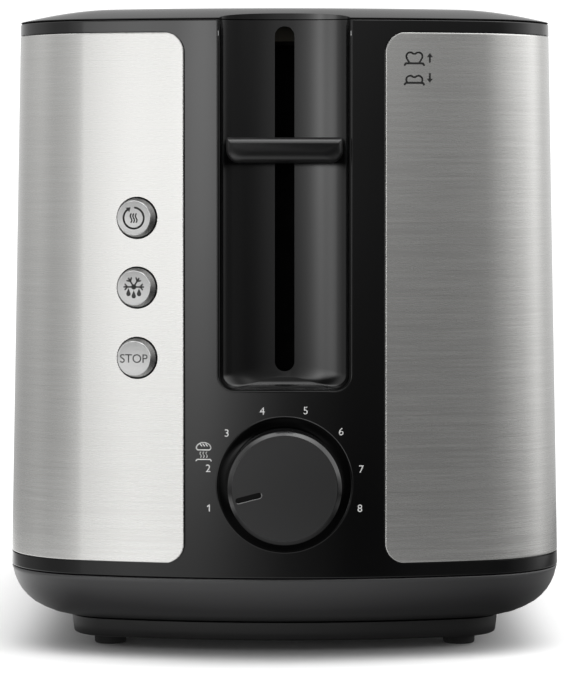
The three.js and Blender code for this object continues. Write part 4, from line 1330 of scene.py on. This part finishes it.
def groove_prism(outline, outer_z, inner_z):
    """Cutter over an outline, its floor sloping with the folded frame."""
    floor, roof = [], []
    for x, y in outline:
        share = (abs(x) - bun_low.x) / (bun_high.x - bun_low.x)
        floor.append((x, y, inner_z + (outer_z - inner_z) * share))
        roof.append((x, y, crown_z() + 5 * MM))
    return ring_solid("tool", [floor, roof])


def top_cover():
    """Cover with its two slots, bun grooves and lever notch, the slot lips and the folding bun wires."""
    cover = loft("top_shell", cover_levels(), 50)
    tools = []
    for side in (-1, 1):
        tools.append(prism_along_z("tool", slot_rectangle(side, 0, 2.2 * MM), 0.15, 0.25))
        tools.append(bun_groove(side))
    tools.append(channel_hollow(crown_z() + 20 * MM))
    carve(cover, tools)
    dress(cover, "root", GLOSS_BLACK, "gloss_black_plastic", "top_cover")
    cover.data.materials.append(RUBBER)
    for polygon in cover.data.polygons:
        polygon.material_index = 1 if polygon.normal.z < -0.7 else 0
    top = crown_z() - SLOT_BEAD
    for side, name in ((-1, "left"), (1, "right")):
        path = [(x, y, top - 0.05 * MM) for x, y in slot_rectangle(side, 0.55 * MM, 2.75 * MM)]
        lip = tube("slot_lip_" + name, path, SLOT_BEAD, 12, True)
        dress(lip, "root", STEEL, "brushed_steel")
        frame_wire = tube("bun_rack_frame_" + name, bun_path(side), BUN_WIRE, 16, True)
        dress(frame_wire, "bun_bail_" + name, WIRE, "chrome_trim", "bun_rack_" + name)


# ------------------------------------------------------------------ base, plinth and feet
# Section of the base bowl: height above its foot and distance in from its rim, in millimetres.
BOWL = [(0.0, 23.8), (0.22, 20.2), (0.7, 16.8), (1.7, 13.0), (3.1, 9.8), (4.7, 7.0), (6.6, 4.8),
        (8.6, 3.1), (10.6, 1.9), (13.0, 0.9), (15.0, 0.4)]


def bowl_levels(inwards=0.0, upwards=0.0):
    """Levels of the base bowl, with a small rounded rim."""
    levels = [(base_low.z + rise * MM + upwards, inside * MM + inwards) for rise, inside in BOWL]
    top = base_high.z + upwards
    shoulder = ((0.36, 0.04), (0.2, 0.12), (0.08, 0.25), (0.0, 0.5))
    return levels + [(top - drop * MM, inside * MM + inwards) for drop, inside in shoulder]


def base_pan():
    """Base bowl, hollow inside, with the way for the crumb tray at the rear."""
    pan = loft("base_bowl", bowl_levels(), 50)
    tray_x = tray_high.x + GAP
    hollow = loft("tool", bowl_levels(2.5 * MM, 2.5 * MM), 50)
    way = box_tool((-tray_x, 0.02, tray_low.z - 0.4 * MM), (tray_x, BEYOND, tray_high.z + 0.4 * MM))
    carve(pan, [hollow, way])
    dress(pan, "root", BASE_GREY, "dark_grey_plastic", "base_pan")


def tray_front():
    """Handle of the crumb tray: follows the base, with a finger lip along its upper edge."""
    front = loft("tray_grip", bowl_levels(0.02 * MM), 50)
    tray_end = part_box("crumb_tray")[1].y + GAP
    keep = box_tool((tray_low.x, tray_end, tray_low.z), (tray_high.x, BEYOND, tray_high.z))
    carve(front, [keep], "INTERSECT")
    half = 18 * MM
    y0, y1 = tray_high.y - 12 * MM, tray_high.y
    z1 = tray_high.z
    outline = [(-half, y0), (half, y0)] + arc(half - 5 * MM, y1 - 5 * MM, 5 * MM, 0, 90, 10)
    outline += arc(-half + 5 * MM, y1 - 5 * MM, 5 * MM, 90, 180, 10)
    lip = prism_along_z("tray_lip", outline, z1 - 2.8 * MM, z1)
    round_edges(lip, 0.7 * MM, 4)
    dress(front, "tray", SATIN_BLACK, "satin_black_plastic", "crumb_tray_handle")
    dress(lip, "tray", SATIN_BLACK, "satin_black_plastic")


def plinth():
    """Narrow skirt under the base, rounded at its foot and open in the middle."""
    inset_low = HALF_WIDTH - plinth_high.x
    levels = []
    for rise, extra in ((0, 1.3), (0.25, 0.85), (0.7, 0.6), (3.0, 0.3), (5.9, 0.0)):
        levels.append((plinth_low.z + rise * MM, inset_low + extra * MM))
    ring = loft("plinth_skirt", levels, 50)
    x, y = 48.9 * MM, HALF_LENGTH - 53.9 * MM
    hole = box_tool((-x, BODY_Y - y, 0), (x, BODY_Y + y, 0.02))
    carve(ring, [hole])
    dress(ring, "root", SATIN_BLACK, "satin_black_plastic", "plinth_ring")


def feet():
    """Four rubber feet, each with a small hollow underneath."""
    for end in ("front", "rear"):
        for side in ("left", "right"):
            node = f"foot_{end}_{side}"
            low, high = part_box(node)
            centre = ((low.x + high.x) / 2, (low.y + high.y) / 2, 0)
            r = (high.x - low.x) / 2
            profile = [(0.02 * MM, 0.25 * MM), (1.8 * MM, 0.25 * MM), (2.3 * MM, 0), (r - 0.9 * MM, 0)]
            profile += arc(r - 0.9 * MM, 0.9 * MM, 0.9 * MM, -70, 0, 6)
            profile += [(r, high.z), (0.02 * MM, high.z)]
            foot = turned(f"pad_{end}_{side}", profile, centre, "Z", 40)
            dress(foot, "root", RUBBER, "black_rubber", node)


# ------------------------------------------------------------------ dial and lever
POINTER_ANGLE = math.radians(194.6)


def dial_knob():
    """Dial: a slightly crowned face, a glossy bevel, a skirt in the dish, and a sunk pointer with a painted
    highlight along its lower edge.
    """
    origin_y = dial_low.y
    face = DIAL_RADIUS - 1.25 * MM
    profile = [(0.03 * MM, 0.0)]
    for i in range(1, 15):
        radius = (face - 0.25 * MM) * i / 14
        profile.append((radius, radius ** 2 / (2 * DIAL_DOME)))
    edge = profile[-1][1]
    profile += arc(face - 0.25 * MM, edge + 0.3 * MM, 0.3 * MM, -84, -35, 4)
    profile += [(DIAL_RADIUS - 0.35 * MM, edge + 0.95 * MM), (DIAL_RADIUS - 0.12 * MM, edge + 1.3 * MM)]
    profile += [(DIAL_RADIUS - 0.05 * MM, edge + 2 * MM)]
    back = front_y(0, DIAL_Z)[0] - origin_y + DISH_DEPTH - 0.7 * MM
    profile += [(DIAL_RADIUS, back - 0.4 * MM), (DIAL_RADIUS - 0.3 * MM, back), (3 * MM, back)]
    end = dial_high.y - origin_y
    profile += [(3 * MM, end), (0.03 * MM, end)]
    knob = turned("dial", profile, (0, origin_y, DIAL_Z), "Y", 120, 24)
    inner, outer, half = 8.4 * MM, 15.1 * MM, 0.95 * MM
    cosine, sine = math.cos(POINTER_ANGLE), math.sin(POINTER_ANGLE)
    outline = []
    for x, z in arc(outer, 0, half, -90, 90, 12) + arc(inner, 0, half, 90, 270, 12):
        outline.append((x * cosine - z * sine, x * sine + z * cosine))
    centre_x, centre_z = (inner + outer) / 2 * cosine, (inner + outer) / 2 * sine
    rings = []
    for depth, shrink in ((-1.0, 1.0), (0.0, 1.0), (1.2, 0.985), (1.45, 0.95)):
        ring = []
        for x, z in outline:
            ring.append((centre_x + (x - centre_x) * shrink, origin_y + depth * MM,
                         DIAL_Z + centre_z + (z - centre_z) * shrink))
        rings.append(ring)
    carve(knob, [ring_solid("tool", rings, 40)])
    for material in (DIAL_FACE, KNOB_EDGE, GLOSS_BLACK):
        knob.data.materials.append(material)
    for polygon in knob.data.polygons:
        away = Vector((polygon.center.x, 0, polygon.center.z - DIAL_Z)).length
        depth = polygon.center.y - origin_y - away ** 2 / (2 * DIAL_DOME)
        if away > face - 0.3 * MM:
            polygon.material_index = 1
        elif 0.1 * MM < depth < 2 * MM:
            polygon.material_index = 2
    dress(knob, "browning_dial", None, "satin_black_plastic", "browning_knob")
    # Painted highlight: a thin pale grey bead along the pointer's lower edge, the side where light catches
    # the rim.
    lit = outline[9:22]
    lip = []
    for x, z in lit:
        lip.append((x, origin_y + (x * x + z * z) / (2 * DIAL_DOME) + 0.03 * MM, z + DIAL_Z))
    lip = [point for i, point in enumerate(lip) if i == 0 or math.dist(point, lip[i - 1]) > 1e-6]
    edge = tube("pointer_painted_highlight", lip, 0.12 * MM, 8)
    dress(edge, "browning_dial", POINTER_HIGHLIGHT_PAINT, "satin_black_plastic")


def lever_knob():
    """Lever: chamfered along its upper front edge, rounded underneath, round lower corners."""
    half = (lever_high.x - lever_low.x) / 2
    z0, z1 = lever_low.z, lever_high.z
    front, back = lever_low.y, lever_high.y
    outline = arc(half - 0.7 * MM, z1 - 0.7 * MM, 0.7 * MM, 0, 90, 4)
    outline += arc(-half + 0.7 * MM, z1 - 0.7 * MM, 0.7 * MM, 90, 180, 4)
    outline += arc(-half + 4.2 * MM, z0 + 4.2 * MM, 4.2 * MM, 180, 270, 14)
    outline += arc(half - 4.2 * MM, z0 + 4.2 * MM, 4.2 * MM, 270, 360, 14)
    middle = z0 + 4.2 * MM
    rings = []
    nose = ((10.0, 0.0), (4.2, 0.0), (2.6, 0.25), (1.5, 0.7), (0.7, 1.35), (0.25, 2.1), (0.0, 3.0))
    for depth, inwards in nose:
        ring = []
        for x, z in outline:
            lower = max(0.0, min(1.0, (z1 - z) / (z1 - z0)))
            move = inwards * MM * (0.35 + 0.65 * lower)
            sx = x - math.copysign(min(abs(x), move * 1.15), x)
            lift = inwards * MM * 1.25 * lower if z < middle + 0.5 * MM else 0.0
            ring.append((sx, front + depth * MM, min(z + lift, z1 - inwards * MM * 0.62)))
        rings.append(ring)
    knob = ring_solid("lever_grip", list(reversed(rings)), 24)
    stem_low, stem_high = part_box("lever_stem")
    socket = box_tool((stem_low.x - GAP, stem_low.y - GAP, stem_low.z - GAP),
                      (stem_high.x + GAP, back + 5 * MM, stem_high.z + GAP))
    carve(knob, [socket])
    dress(knob, "carriage", KNOB_BLACK, "satin_black_plastic", "lever_knob")


# ------------------------------------------------------------------ repeated parts by geometry nodes
def geometry_tree(name, inputs):
    """Empty geometry group with named inputs and a material; returns its tree, input and output."""
    tree = bpy.data.node_groups.new(name, "GeometryNodeTree")
    tree.interface.new_socket("Geometry", in_out="INPUT", socket_type="NodeSocketGeometry")
    for label, kind, value in inputs:
        socket = tree.interface.new_socket(label, in_out="INPUT", socket_type=kind)
        socket.default_value = value
    tree.interface.new_socket("Material", in_out="INPUT", socket_type="NodeSocketMaterial")
    tree.interface.new_socket("Geometry", in_out="OUTPUT", socket_type="NodeSocketGeometry")
    return tree, tree.nodes.new("NodeGroupInput"), tree.nodes.new("NodeGroupOutput")


def deliver(tree, start, end, instances):
    """Turns instances into plain mesh and gives them the material that was asked for."""
    real = tree.nodes.new("GeometryNodeRealizeInstances")
    tree.links.new(instances, real.inputs[0])
    paint = tree.nodes.new("GeometryNodeSetMaterial")
    tree.links.new(real.outputs[0], paint.inputs["Geometry"])
    tree.links.new(start.outputs["Material"], paint.inputs["Material"])
    tree.links.new(paint.outputs[0], end.inputs[0])


def grown(name, tree, material, values):
    """Runs a geometry tree on an empty mesh with the given inputs and returns a plain mesh object."""
    holder = adopt(name, bpy.data.meshes.new(name))
    step = holder.modifiers.new("grow", "NODES")
    step.node_group = tree
    sockets = {s.name: s.identifier for s in tree.interface.items_tree if s.in_out == "INPUT"}
    for label, value in values.items():
        step[sockets[label]] = value
    settle(holder)
    holder.data.materials.clear()
    holder.data.materials.append(material)
    return shade(holder, 40)


def wire_row_tree():
    """Straight wires of one length, set out in a row."""
    tree, start, end = geometry_tree("wire_row", [
        ("Wires", "NodeSocketInt", 8), ("Low", VECTOR, (0, 0, 0)), ("High", VECTOR, (0, 0, 1)),
        ("Pitch", VECTOR, (0, 0.02, 0)), ("Wire Radius", FLOAT, 0.0008),
    ])
    link = tree.links.new
    line = tree.nodes.new("GeometryNodeCurvePrimitiveLine")
    link(start.outputs["Low"], line.inputs["Start"])
    link(start.outputs["High"], line.inputs["End"])
    circle = tree.nodes.new("GeometryNodeCurvePrimitiveCircle")
    circle.inputs["Resolution"].default_value = 12
    link(start.outputs["Wire Radius"], circle.inputs["Radius"])
    solid = tree.nodes.new("GeometryNodeCurveToMesh")
    solid.inputs["Fill Caps"].default_value = True
    link(line.outputs[0], solid.inputs["Curve"])
    link(circle.outputs[0], solid.inputs["Profile Curve"])
    row = tree.nodes.new("GeometryNodeMeshLine")
    row.mode = "OFFSET"
    link(start.outputs["Wires"], row.inputs["Count"])
    link(start.outputs["Pitch"], row.inputs["Offset"])
    spread = tree.nodes.new("GeometryNodeInstanceOnPoints")
    link(row.outputs[0], spread.inputs["Points"])
    link(solid.outputs[0], spread.inputs["Instance"])
    deliver(tree, start, end, spread.outputs[0])
    return tree


def bread_guides():
    """The four wire guides: upright tines between a hinge rod and an upper rail."""
    tree = wire_row_tree()
    for side in ("left", "right"):
        for place in ("inner", "outer"):
            node = f"bread_guide_{place}_{side}"
            low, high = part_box(node)
            x = (low.x + high.x) / 2
            hinge_z = low.z + 1.1 * MM
            y0, y1 = SLOT_FRONT - 4 * MM, SLOT_REAR + 4 * MM
            wires = grown("tines", tree, WIRE, {
                "Wires": 8, "Low": (x, y0 + 0.8 * MM, hinge_z), "High": (x, y0 + 0.8 * MM, high.z - 0.8 * MM),
                "Pitch": (0, (y1 - y0 - 1.6 * MM) / 7, 0), "Wire Radius": 0.75 * MM, "Material": WIRE})
            hinge = tube("hinge", [(x, low.y, hinge_z), (x, high.y, hinge_z)], 1.05 * MM)
            rail = tube("rail", [(x, y0, high.z - 0.8 * MM), (x, y1, high.z - 0.8 * MM)], 0.78 * MM)
            guide = merge(f"guide_wires_{place}_{side}", wires, hinge, rail)
            shade(guide, 40)
            dress(guide, f"guide_{place}_{side}", WIRE, "zinc_steel", node)


def bread_racks():
    """The two racks that carry the bread: cross wires on a flat spine."""
    tree = bpy.data.node_groups["wire_row"]
    for side in ("left", "right"):
        node = "bread_rack_" + side
        low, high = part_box(node)
        x = (low.x + high.x) / 2
        r = 1.0 * MM
        y0, y1 = SLOT_FRONT + 5 * MM, SLOT_REAR - 5 * MM
        ribs = grown("ribs", tree, WIRE, {
            "Wires": 7, "Low": (low.x, y0, high.z - r), "High": (high.x, y0, high.z - r),
            "Pitch": (0, (y1 - y0) / 6, 0), "Wire Radius": r, "Material": WIRE})
        spine = box_tool((x - 0.8 * MM, low.y, low.z), (x + 0.8 * MM, high.y, high.z - 0.4 * MM))
        round_edges(spine, 0.3 * MM, 2)
        rack = merge("rack_bars_" + side, ribs, spine)
        shade(rack, 40)
        dress(rack, "carriage", WIRE, "zinc_steel", node)


def return_spring():
    """Coil that draws the carriage up, built as one fixed helix of wire."""
    low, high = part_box("return_spring")
    x, y = (low.x + high.x) / 2, (low.y + high.y) / 2
    radius = (high.x - low.x) / 2 - 0.5 * MM
    turns, per_turn = 24, 16
    path = []
    for i in range(turns * per_turn + 1):
        turn = 2 * math.pi * i / per_turn
        share = i / (turns * per_turn)
        z = low.z + 3 * MM + (high.z - low.z - 6 * MM) * share
        path.append((x + radius * math.cos(turn), y + radius * math.sin(turn), z))
    path = [(x, y, low.z + 0.6 * MM)] + path + [(x, y, high.z - 0.6 * MM)]
    spring = tube("spring_coil", path, 0.45 * MM, 8)
    spring.data.materials.append(IRON)
    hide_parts("return_spring")
    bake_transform(spring)


def base_screws():
    """Pan-head screws that hold the base, on the underside of the plinth."""
    tree, start, end = geometry_tree("screw_set", [
        ("Head Radius", FLOAT, 3 * MM), ("Spacing X", FLOAT, 0.1), ("Spacing Y", FLOAT, 0.2),
        ("Middle", VECTOR, (0, 0, 0)),
    ])
    link = tree.links.new
    grid = tree.nodes.new("GeometryNodeMeshGrid")
    grid.inputs["Vertices X"].default_value = 2
    grid.inputs["Vertices Y"].default_value = 3
    link(start.outputs["Spacing X"], grid.inputs["Size X"])
    link(start.outputs["Spacing Y"], grid.inputs["Size Y"])
    head = tree.nodes.new("GeometryNodeMeshUVSphere")
    head.inputs["Segments"].default_value = 24
    head.inputs["Rings"].default_value = 12
    link(start.outputs["Head Radius"], head.inputs["Radius"])
    flat = tree.nodes.new("GeometryNodeTransform")
    link(head.outputs[0], flat.inputs["Geometry"])
    flat.inputs["Scale"].default_value = (1, 1, 0.34)
    bar = tree.nodes.new("GeometryNodeMeshCube")
    bar.inputs["Size"].default_value = (4.4 * MM, 0.8 * MM, 1.4 * MM)
    sunk = tree.nodes.new("GeometryNodeTransform")
    link(bar.outputs[0], sunk.inputs["Geometry"])
    sunk.inputs["Translation"].default_value = (0, 0, -1.1 * MM)
    slotted = tree.nodes.new("GeometryNodeMeshBoolean")
    slotted.operation = "DIFFERENCE"
    link(flat.outputs[0], slotted.inputs["Mesh 1"])
    link(sunk.outputs[0], slotted.inputs["Mesh 2"])
    spread = tree.nodes.new("GeometryNodeInstanceOnPoints")
    link(grid.outputs[0], spread.inputs["Points"])
    link(slotted.outputs[0], spread.inputs["Instance"])
    put = tree.nodes.new("GeometryNodeTransform")
    link(spread.outputs[0], put.inputs["Geometry"])
    link(start.outputs["Middle"], put.inputs["Translation"])
    deliver(tree, start, end, put.outputs[0])
    screws = grown("base_screws", tree, WIRE, {
        "Spacing X": 116 * MM, "Spacing Y": 150 * MM, "Material": WIRE,
        "Middle": (0, BODY_Y, plinth_low.z - 0.1 * MM)})
    dress(screws, "root", WIRE, "zinc_steel")


# ------------------------------------------------------------------ gland and carried-over parts
def cord_gland():
    """Flanged rubber bush where the mains lead would leave the rear moulding."""
    face = BODY_Y + HALF_LENGTH - lean((gland_low.z + gland_high.z) / 2)
    r = (gland_high.x - gland_low.x) / 2
    bore = 3.6 * MM
    tip = gland_high.y - face
    inner = gland_low.y - face
    neck = r - 2 * MM
    profile = [(bore, inner), (neck, inner), (neck, 0.3 * MM), (r - 0.4 * MM, 0.3 * MM), (r, 0.7 * MM)]
    profile += arc(r - 1.2 * MM, tip - 1.2 * MM, 1.2 * MM, 0, 90, 6)
    profile += [(bore + 0.6 * MM, tip), (bore, tip - 0.6 * MM)]
    centre_z = (gland_low.z + gland_high.z) / 2
    rings = []
    for i in range(48):
        turn = 2 * math.pi * i / 48
        cosine, sine = math.cos(turn), math.sin(turn)
        rings.append([(reach * cosine, face + y, centre_z + reach * sine) for reach, y in profile])
    gland = loop_solid("gland_bush", rings)
    dress(gland, "root", RUBBER, "black_rubber", "cord_gland")


KEPT = {
    DARK_SHEET: ("chassis_front", "carriage_bracket"),
    ZINC: ("chassis_rear", "reflector_left", "reflector_right", "lever_stem", "crumb_tray"),
    WIRE: ("guide_shaft",),
    IRON: ("latch_plate", "magnet_core"),
    COPPER: ("magnet_coil",),
    CIRCUIT: ("control_board",),
    SATIN_BLACK: ("browning_potentiometer", "reheat_switch", "defrost_switch", "stop_switch",
                  "reheat_collar", "defrost_collar", "stop_collar"),
    CERAMIC: ("terminal_block",),
    BROWN_LEAD: ("supply_lead_live",),
    BLUE_LEAD: ("supply_lead_neutral",),
}


def carried_over():
    """Gives the CAD pieces that stay as they are their materials."""
    for material, nodes in KEPT.items():
        for node in nodes:
            paint_node(node, material)
    for node in frame["nodes"]:
        if node.startswith("heater_board"):
            paint_node(node, MICA)
        elif node.startswith("heater_ribbon"):
            paint_node(node, RIBBON)


def paint_node(node, material):
    """Puts a material on a CAD piece, its mesh as it was."""
    mesh = frame["nodes"][node].data
    mesh.materials.clear()
    mesh.materials.append(material)


# ------------------------------------------------------------------ studio
OVERHEAD = 2.6
CEILING_FROM, CEILING_FULL = 45.0, 70.0
WHITE_LEVEL = 1.2
# Brightness of the studio walls. Each ring is an elevation in degrees with one level for each azimuth.
# Azimuth 0 is straight out from the controls, and positive angles are to the right of it.
AZIMUTHS = (
    -180, -130, -111, -99, -79, -61, -44, -39, -30, -21, -16, -8, 0, 9, 12, 19, 26, 33, 40, 47, 61, 86,
    110, 130, 180,
)
STUDIO_RINGS = {
    -9: (
        0.4, 0.3, 0.3, 0.3, 0.3, 0.3, 0.3, 0.3, 0.3, 0.2, 0.2, 0.1, 0.05, 0.03, 0.02, 0.03, 0.05, 0.06,
        0.08, 0.1, 0.1, 0.2, 0.5, 0.4, 0.4,
    ),
    -4: (
        0.6, 0.4, 0.4, 0.45, 0.35, 0.4, 0.6, 0.85, 1.1, 0.9, 0.75, 0.4, 0.15, 0.08, 0.02, 0.03, 0.08,
        0.1, 0.12, 0.1, 0.1, 0.3, 0.8, 0.6, 0.6,
    ),
    0: (
        0.9, 0.6, 0.65, 0.65, 0.5, 0.6, 1.1, 1.9, 2.5, 2.3, 2.6, 1.1, 0.4, 0.18, 0.13, 0.12, 0.16, 0.18,
        0.18, 0.12, 0.1, 0.4, 1.0, 0.8, 0.9,
    ),
    5: (
        0.9, 0.7, 0.75, 0.8, 0.65, 0.75, 1.4, 2.6, 3.5, 3.2, 5.0, 2.0, 0.8, 0.4, 0.34, 0.22, 0.24, 0.24,
        0.25, 0.2, 0.2, 0.8, 1.6, 0.9, 0.9,
    ),
    12: (
        0.4, 0.7, 1.0, 1.1, 0.8, 0.85, 0.45, 0.2, 0.08, 0.05, 0.2, 0.3, 0.4, 0.4, 0.5, 1.15, 0.68, 0.45,
        0.64, 1.0, 1.8, 2.3, 2.1, 0.9, 0.4,
    ),
}
BRIGHTEST = 6.0


def ring_ramp(tree, azimuth, levels):
    """Brightness round the studio at one elevation."""
    ramp = tree.nodes.new("ShaderNodeValToRGB")
    tree.links.new(span(tree, azimuth, -180.0, 180.0), ramp.inputs[0])
    stops = ramp.color_ramp.elements
    while len(stops) < len(levels):
        stops.new(1.0)
    for stop, angle in zip(stops, AZIMUTHS):
        stop.position = (angle + 180) / 360
    for stop, level in zip(stops, levels):
        share = level / BRIGHTEST
        stop.color = (share, share, share, 1)
    return ramp.outputs["Color"]


def world_light():
    """Studio walls by azimuth and elevation under a bright ceiling; the backdrop itself is white."""
    world = bpy.data.worlds.new("studio")
    bpy.context.scene.world = world
    world.use_nodes = True
    tree = world.node_tree
    direction = tree.nodes.new("ShaderNodeTexCoord").outputs["Generated"]
    split = tree.nodes.new("ShaderNodeSeparateXYZ")
    tree.links.new(direction, split.inputs[0])
    to_degrees = 180 / math.pi
    turn = sums(tree, "ARCTAN2", split.outputs["X"], sums(tree, "MULTIPLY", split.outputs["Y"], -1.0))
    azimuth = sums(tree, "MULTIPLY", turn, to_degrees)
    elevation = sums(tree, "MULTIPLY", sums(tree, "ARCSINE", split.outputs["Z"], 0.0), to_degrees)
    level, below = None, None
    for height, levels in STUDIO_RINGS.items():
        ring = ring_ramp(tree, azimuth, levels)
        if level is None:
            level, below = ring, height
            continue
        blend = tree.nodes.new("ShaderNodeMix")
        blend.data_type = "RGBA"
        tree.links.new(span(tree, elevation, below, height), blend.inputs["Factor"])
        tree.links.new(level, blend.inputs["A"])
        tree.links.new(ring, blend.inputs["B"])
        level, below = blend.outputs["Result"], height
    walls = sums(tree, "MULTIPLY", level, BRIGHTEST)
    total = sums(tree, "ADD", walls, span(tree, elevation, CEILING_FROM, CEILING_FULL, 0.0, OVERHEAD))
    lit = tree.nodes["Background"]
    lit.inputs["Color"].default_value = (1, 1, 1, 1)
    tree.links.new(total, lit.inputs["Strength"])
    shown = tree.nodes.new("ShaderNodeBackground")
    shown.inputs["Color"].default_value = (1, 1, 1, 1)
    shown.inputs["Strength"].default_value = WHITE_LEVEL
    show_apart(tree, lit, shown, "World Output")


def show_apart(tree, lit, seen, output):
    """Sends one shader to lighting and reflections, and another to the camera."""
    choose = tree.nodes.new("ShaderNodeMixShader")
    ray = tree.nodes.new("ShaderNodeLightPath")
    tree.links.new(ray.outputs["Is Camera Ray"], choose.inputs["Fac"])
    tree.links.new(lit.outputs[0], choose.inputs[1])
    tree.links.new(seen.outputs[0], choose.inputs[2])
    tree.links.new(choose.outputs[0], tree.nodes[output].inputs["Surface"])


# Glow of the floor as reflections see it: a painted shadow close round the base, a painted bright band beyond
# it, fading further out.
PAINTED_FLOOR_GLOW = 1.5
PAINTED_SHADOW_LEVEL = 0.1
PAINTED_SHADOW_END = 60 * MM
PAINTED_GLOW_END = 200 * MM
FLOOR_REACH = 0.32
SHADOW_NEAR = 12 * MM
SHADOW_FAR = 62 * MM


def pale_floor():
    """White sweep: shaded close round the base, pure white further out. In reflections it is a glow with a
    painted shadow close round the base and painted light that is brighter on the left.
    """
    r = FLOOR_REACH
    floor = new_piece("floor", [(-r, -r, 0), (r, -r, 0), (r, r, 0), (-r, r, 0)], [(0, 1, 2, 3)])
    material, tree, shader, place = surface("pale_floor", 0.0, 0.9, (0.9, 0.9, 0.9), Specular_IOR_Level=0.0)
    split = tree.nodes.new("ShaderNodeSeparateXYZ")
    tree.links.new(place, split.inputs[0])
    reach = []
    for axis, half, middle in (("X", HALF_WIDTH - 12 * MM, 0.0), ("Y", HALF_LENGTH - 12 * MM, BODY_Y)):
        offset = sums(tree, "ABSOLUTE", sums(tree, "SUBTRACT", split.outputs[axis], middle), 0.0)
        reach.append(sums(tree, "MAXIMUM", sums(tree, "SUBTRACT", offset, half), 0.0))
    squares = [sums(tree, "POWER", part, 2.0) for part in reach]
    distance = sums(tree, "SQRT", sums(tree, "ADD", *squares), 0.0)
    clear = span(tree, distance, SHADOW_NEAR, SHADOW_FAR)
    white = tree.nodes.new("ShaderNodeEmission")
    white.inputs["Strength"].default_value = WHITE_LEVEL
    seen = tree.nodes.new("ShaderNodeMixShader")
    tree.links.new(clear, seen.inputs["Fac"])
    tree.links.new(shader.outputs[0], seen.inputs[1])
    tree.links.new(white.outputs[0], seen.inputs[2])
    # Painted reflection of the floor: an emission whose strength is a painted shadow near the base, painted
    # light from the left, and a fall-off further out.
    painted_floor_reflection = tree.nodes.new("ShaderNodeEmission")
    away = span(tree, distance, 0.0, PAINTED_SHADOW_END, PAINTED_SHADOW_LEVEL, PAINTED_FLOOR_GLOW)
    painted_glow_falloff = span(tree, distance, PAINTED_SHADOW_END, PAINTED_GLOW_END, 1.0, 0.25)
    side = span(tree, split.outputs["X"], -HALF_WIDTH, HALF_WIDTH, 1.0, 0.3)
    lit = sums(tree, "MULTIPLY", sums(tree, "MULTIPLY", away, painted_glow_falloff), side)
    tree.links.new(lit, painted_floor_reflection.inputs["Strength"])
    show_apart(tree, painted_floor_reflection, seen, "Material Output")
    floor.data.materials.append(material)


def studio():
    """Light, floor and the way colours are shown."""
    world_light()
    pale_floor()
    bpy.context.scene.view_settings.view_transform = "Standard"


LENS = 166.6
EYE_DISTANCE = 1.0
EYE_HEIGHT = 155.3 * MM
EYE_DIP = 2.972


def camera():
    """Looks straight at the controls from a little above."""
    data = bpy.data.cameras.new("camera")
    data.sensor_fit = "AUTO"
    data.sensor_width = 36.0
    data.lens = LENS
    eye = bpy.data.objects.new("camera", data)
    eye.location = (-0.05 * MM, front_y(0, STEEL_LOW)[0] - EYE_DISTANCE, EYE_HEIGHT)
    eye.rotation_euler = (math.radians(90 - EYE_DIP), 0, 0)
    bpy.context.scene.collection.objects.link(eye)
    bpy.context.scene.camera = eye


# ------------------------------------------------------------------ build
camera()
black_mouldings()
steel_wrap(-1, "steel_side_left", "steel_wrap_left")
steel_wrap(1, "steel_side_right", "steel_wrap_right")
lever_channel()
top_cover()
base_pan()
tray_front()
plinth()
feet()
dial_knob()
lever_knob()
for number in range(3):
    button(number)
dial_numbers()
bun_mark()
lever_marks()
bread_guides()
bread_racks()
return_spring()
base_screws()
cord_gland()
carried_over()
studio()
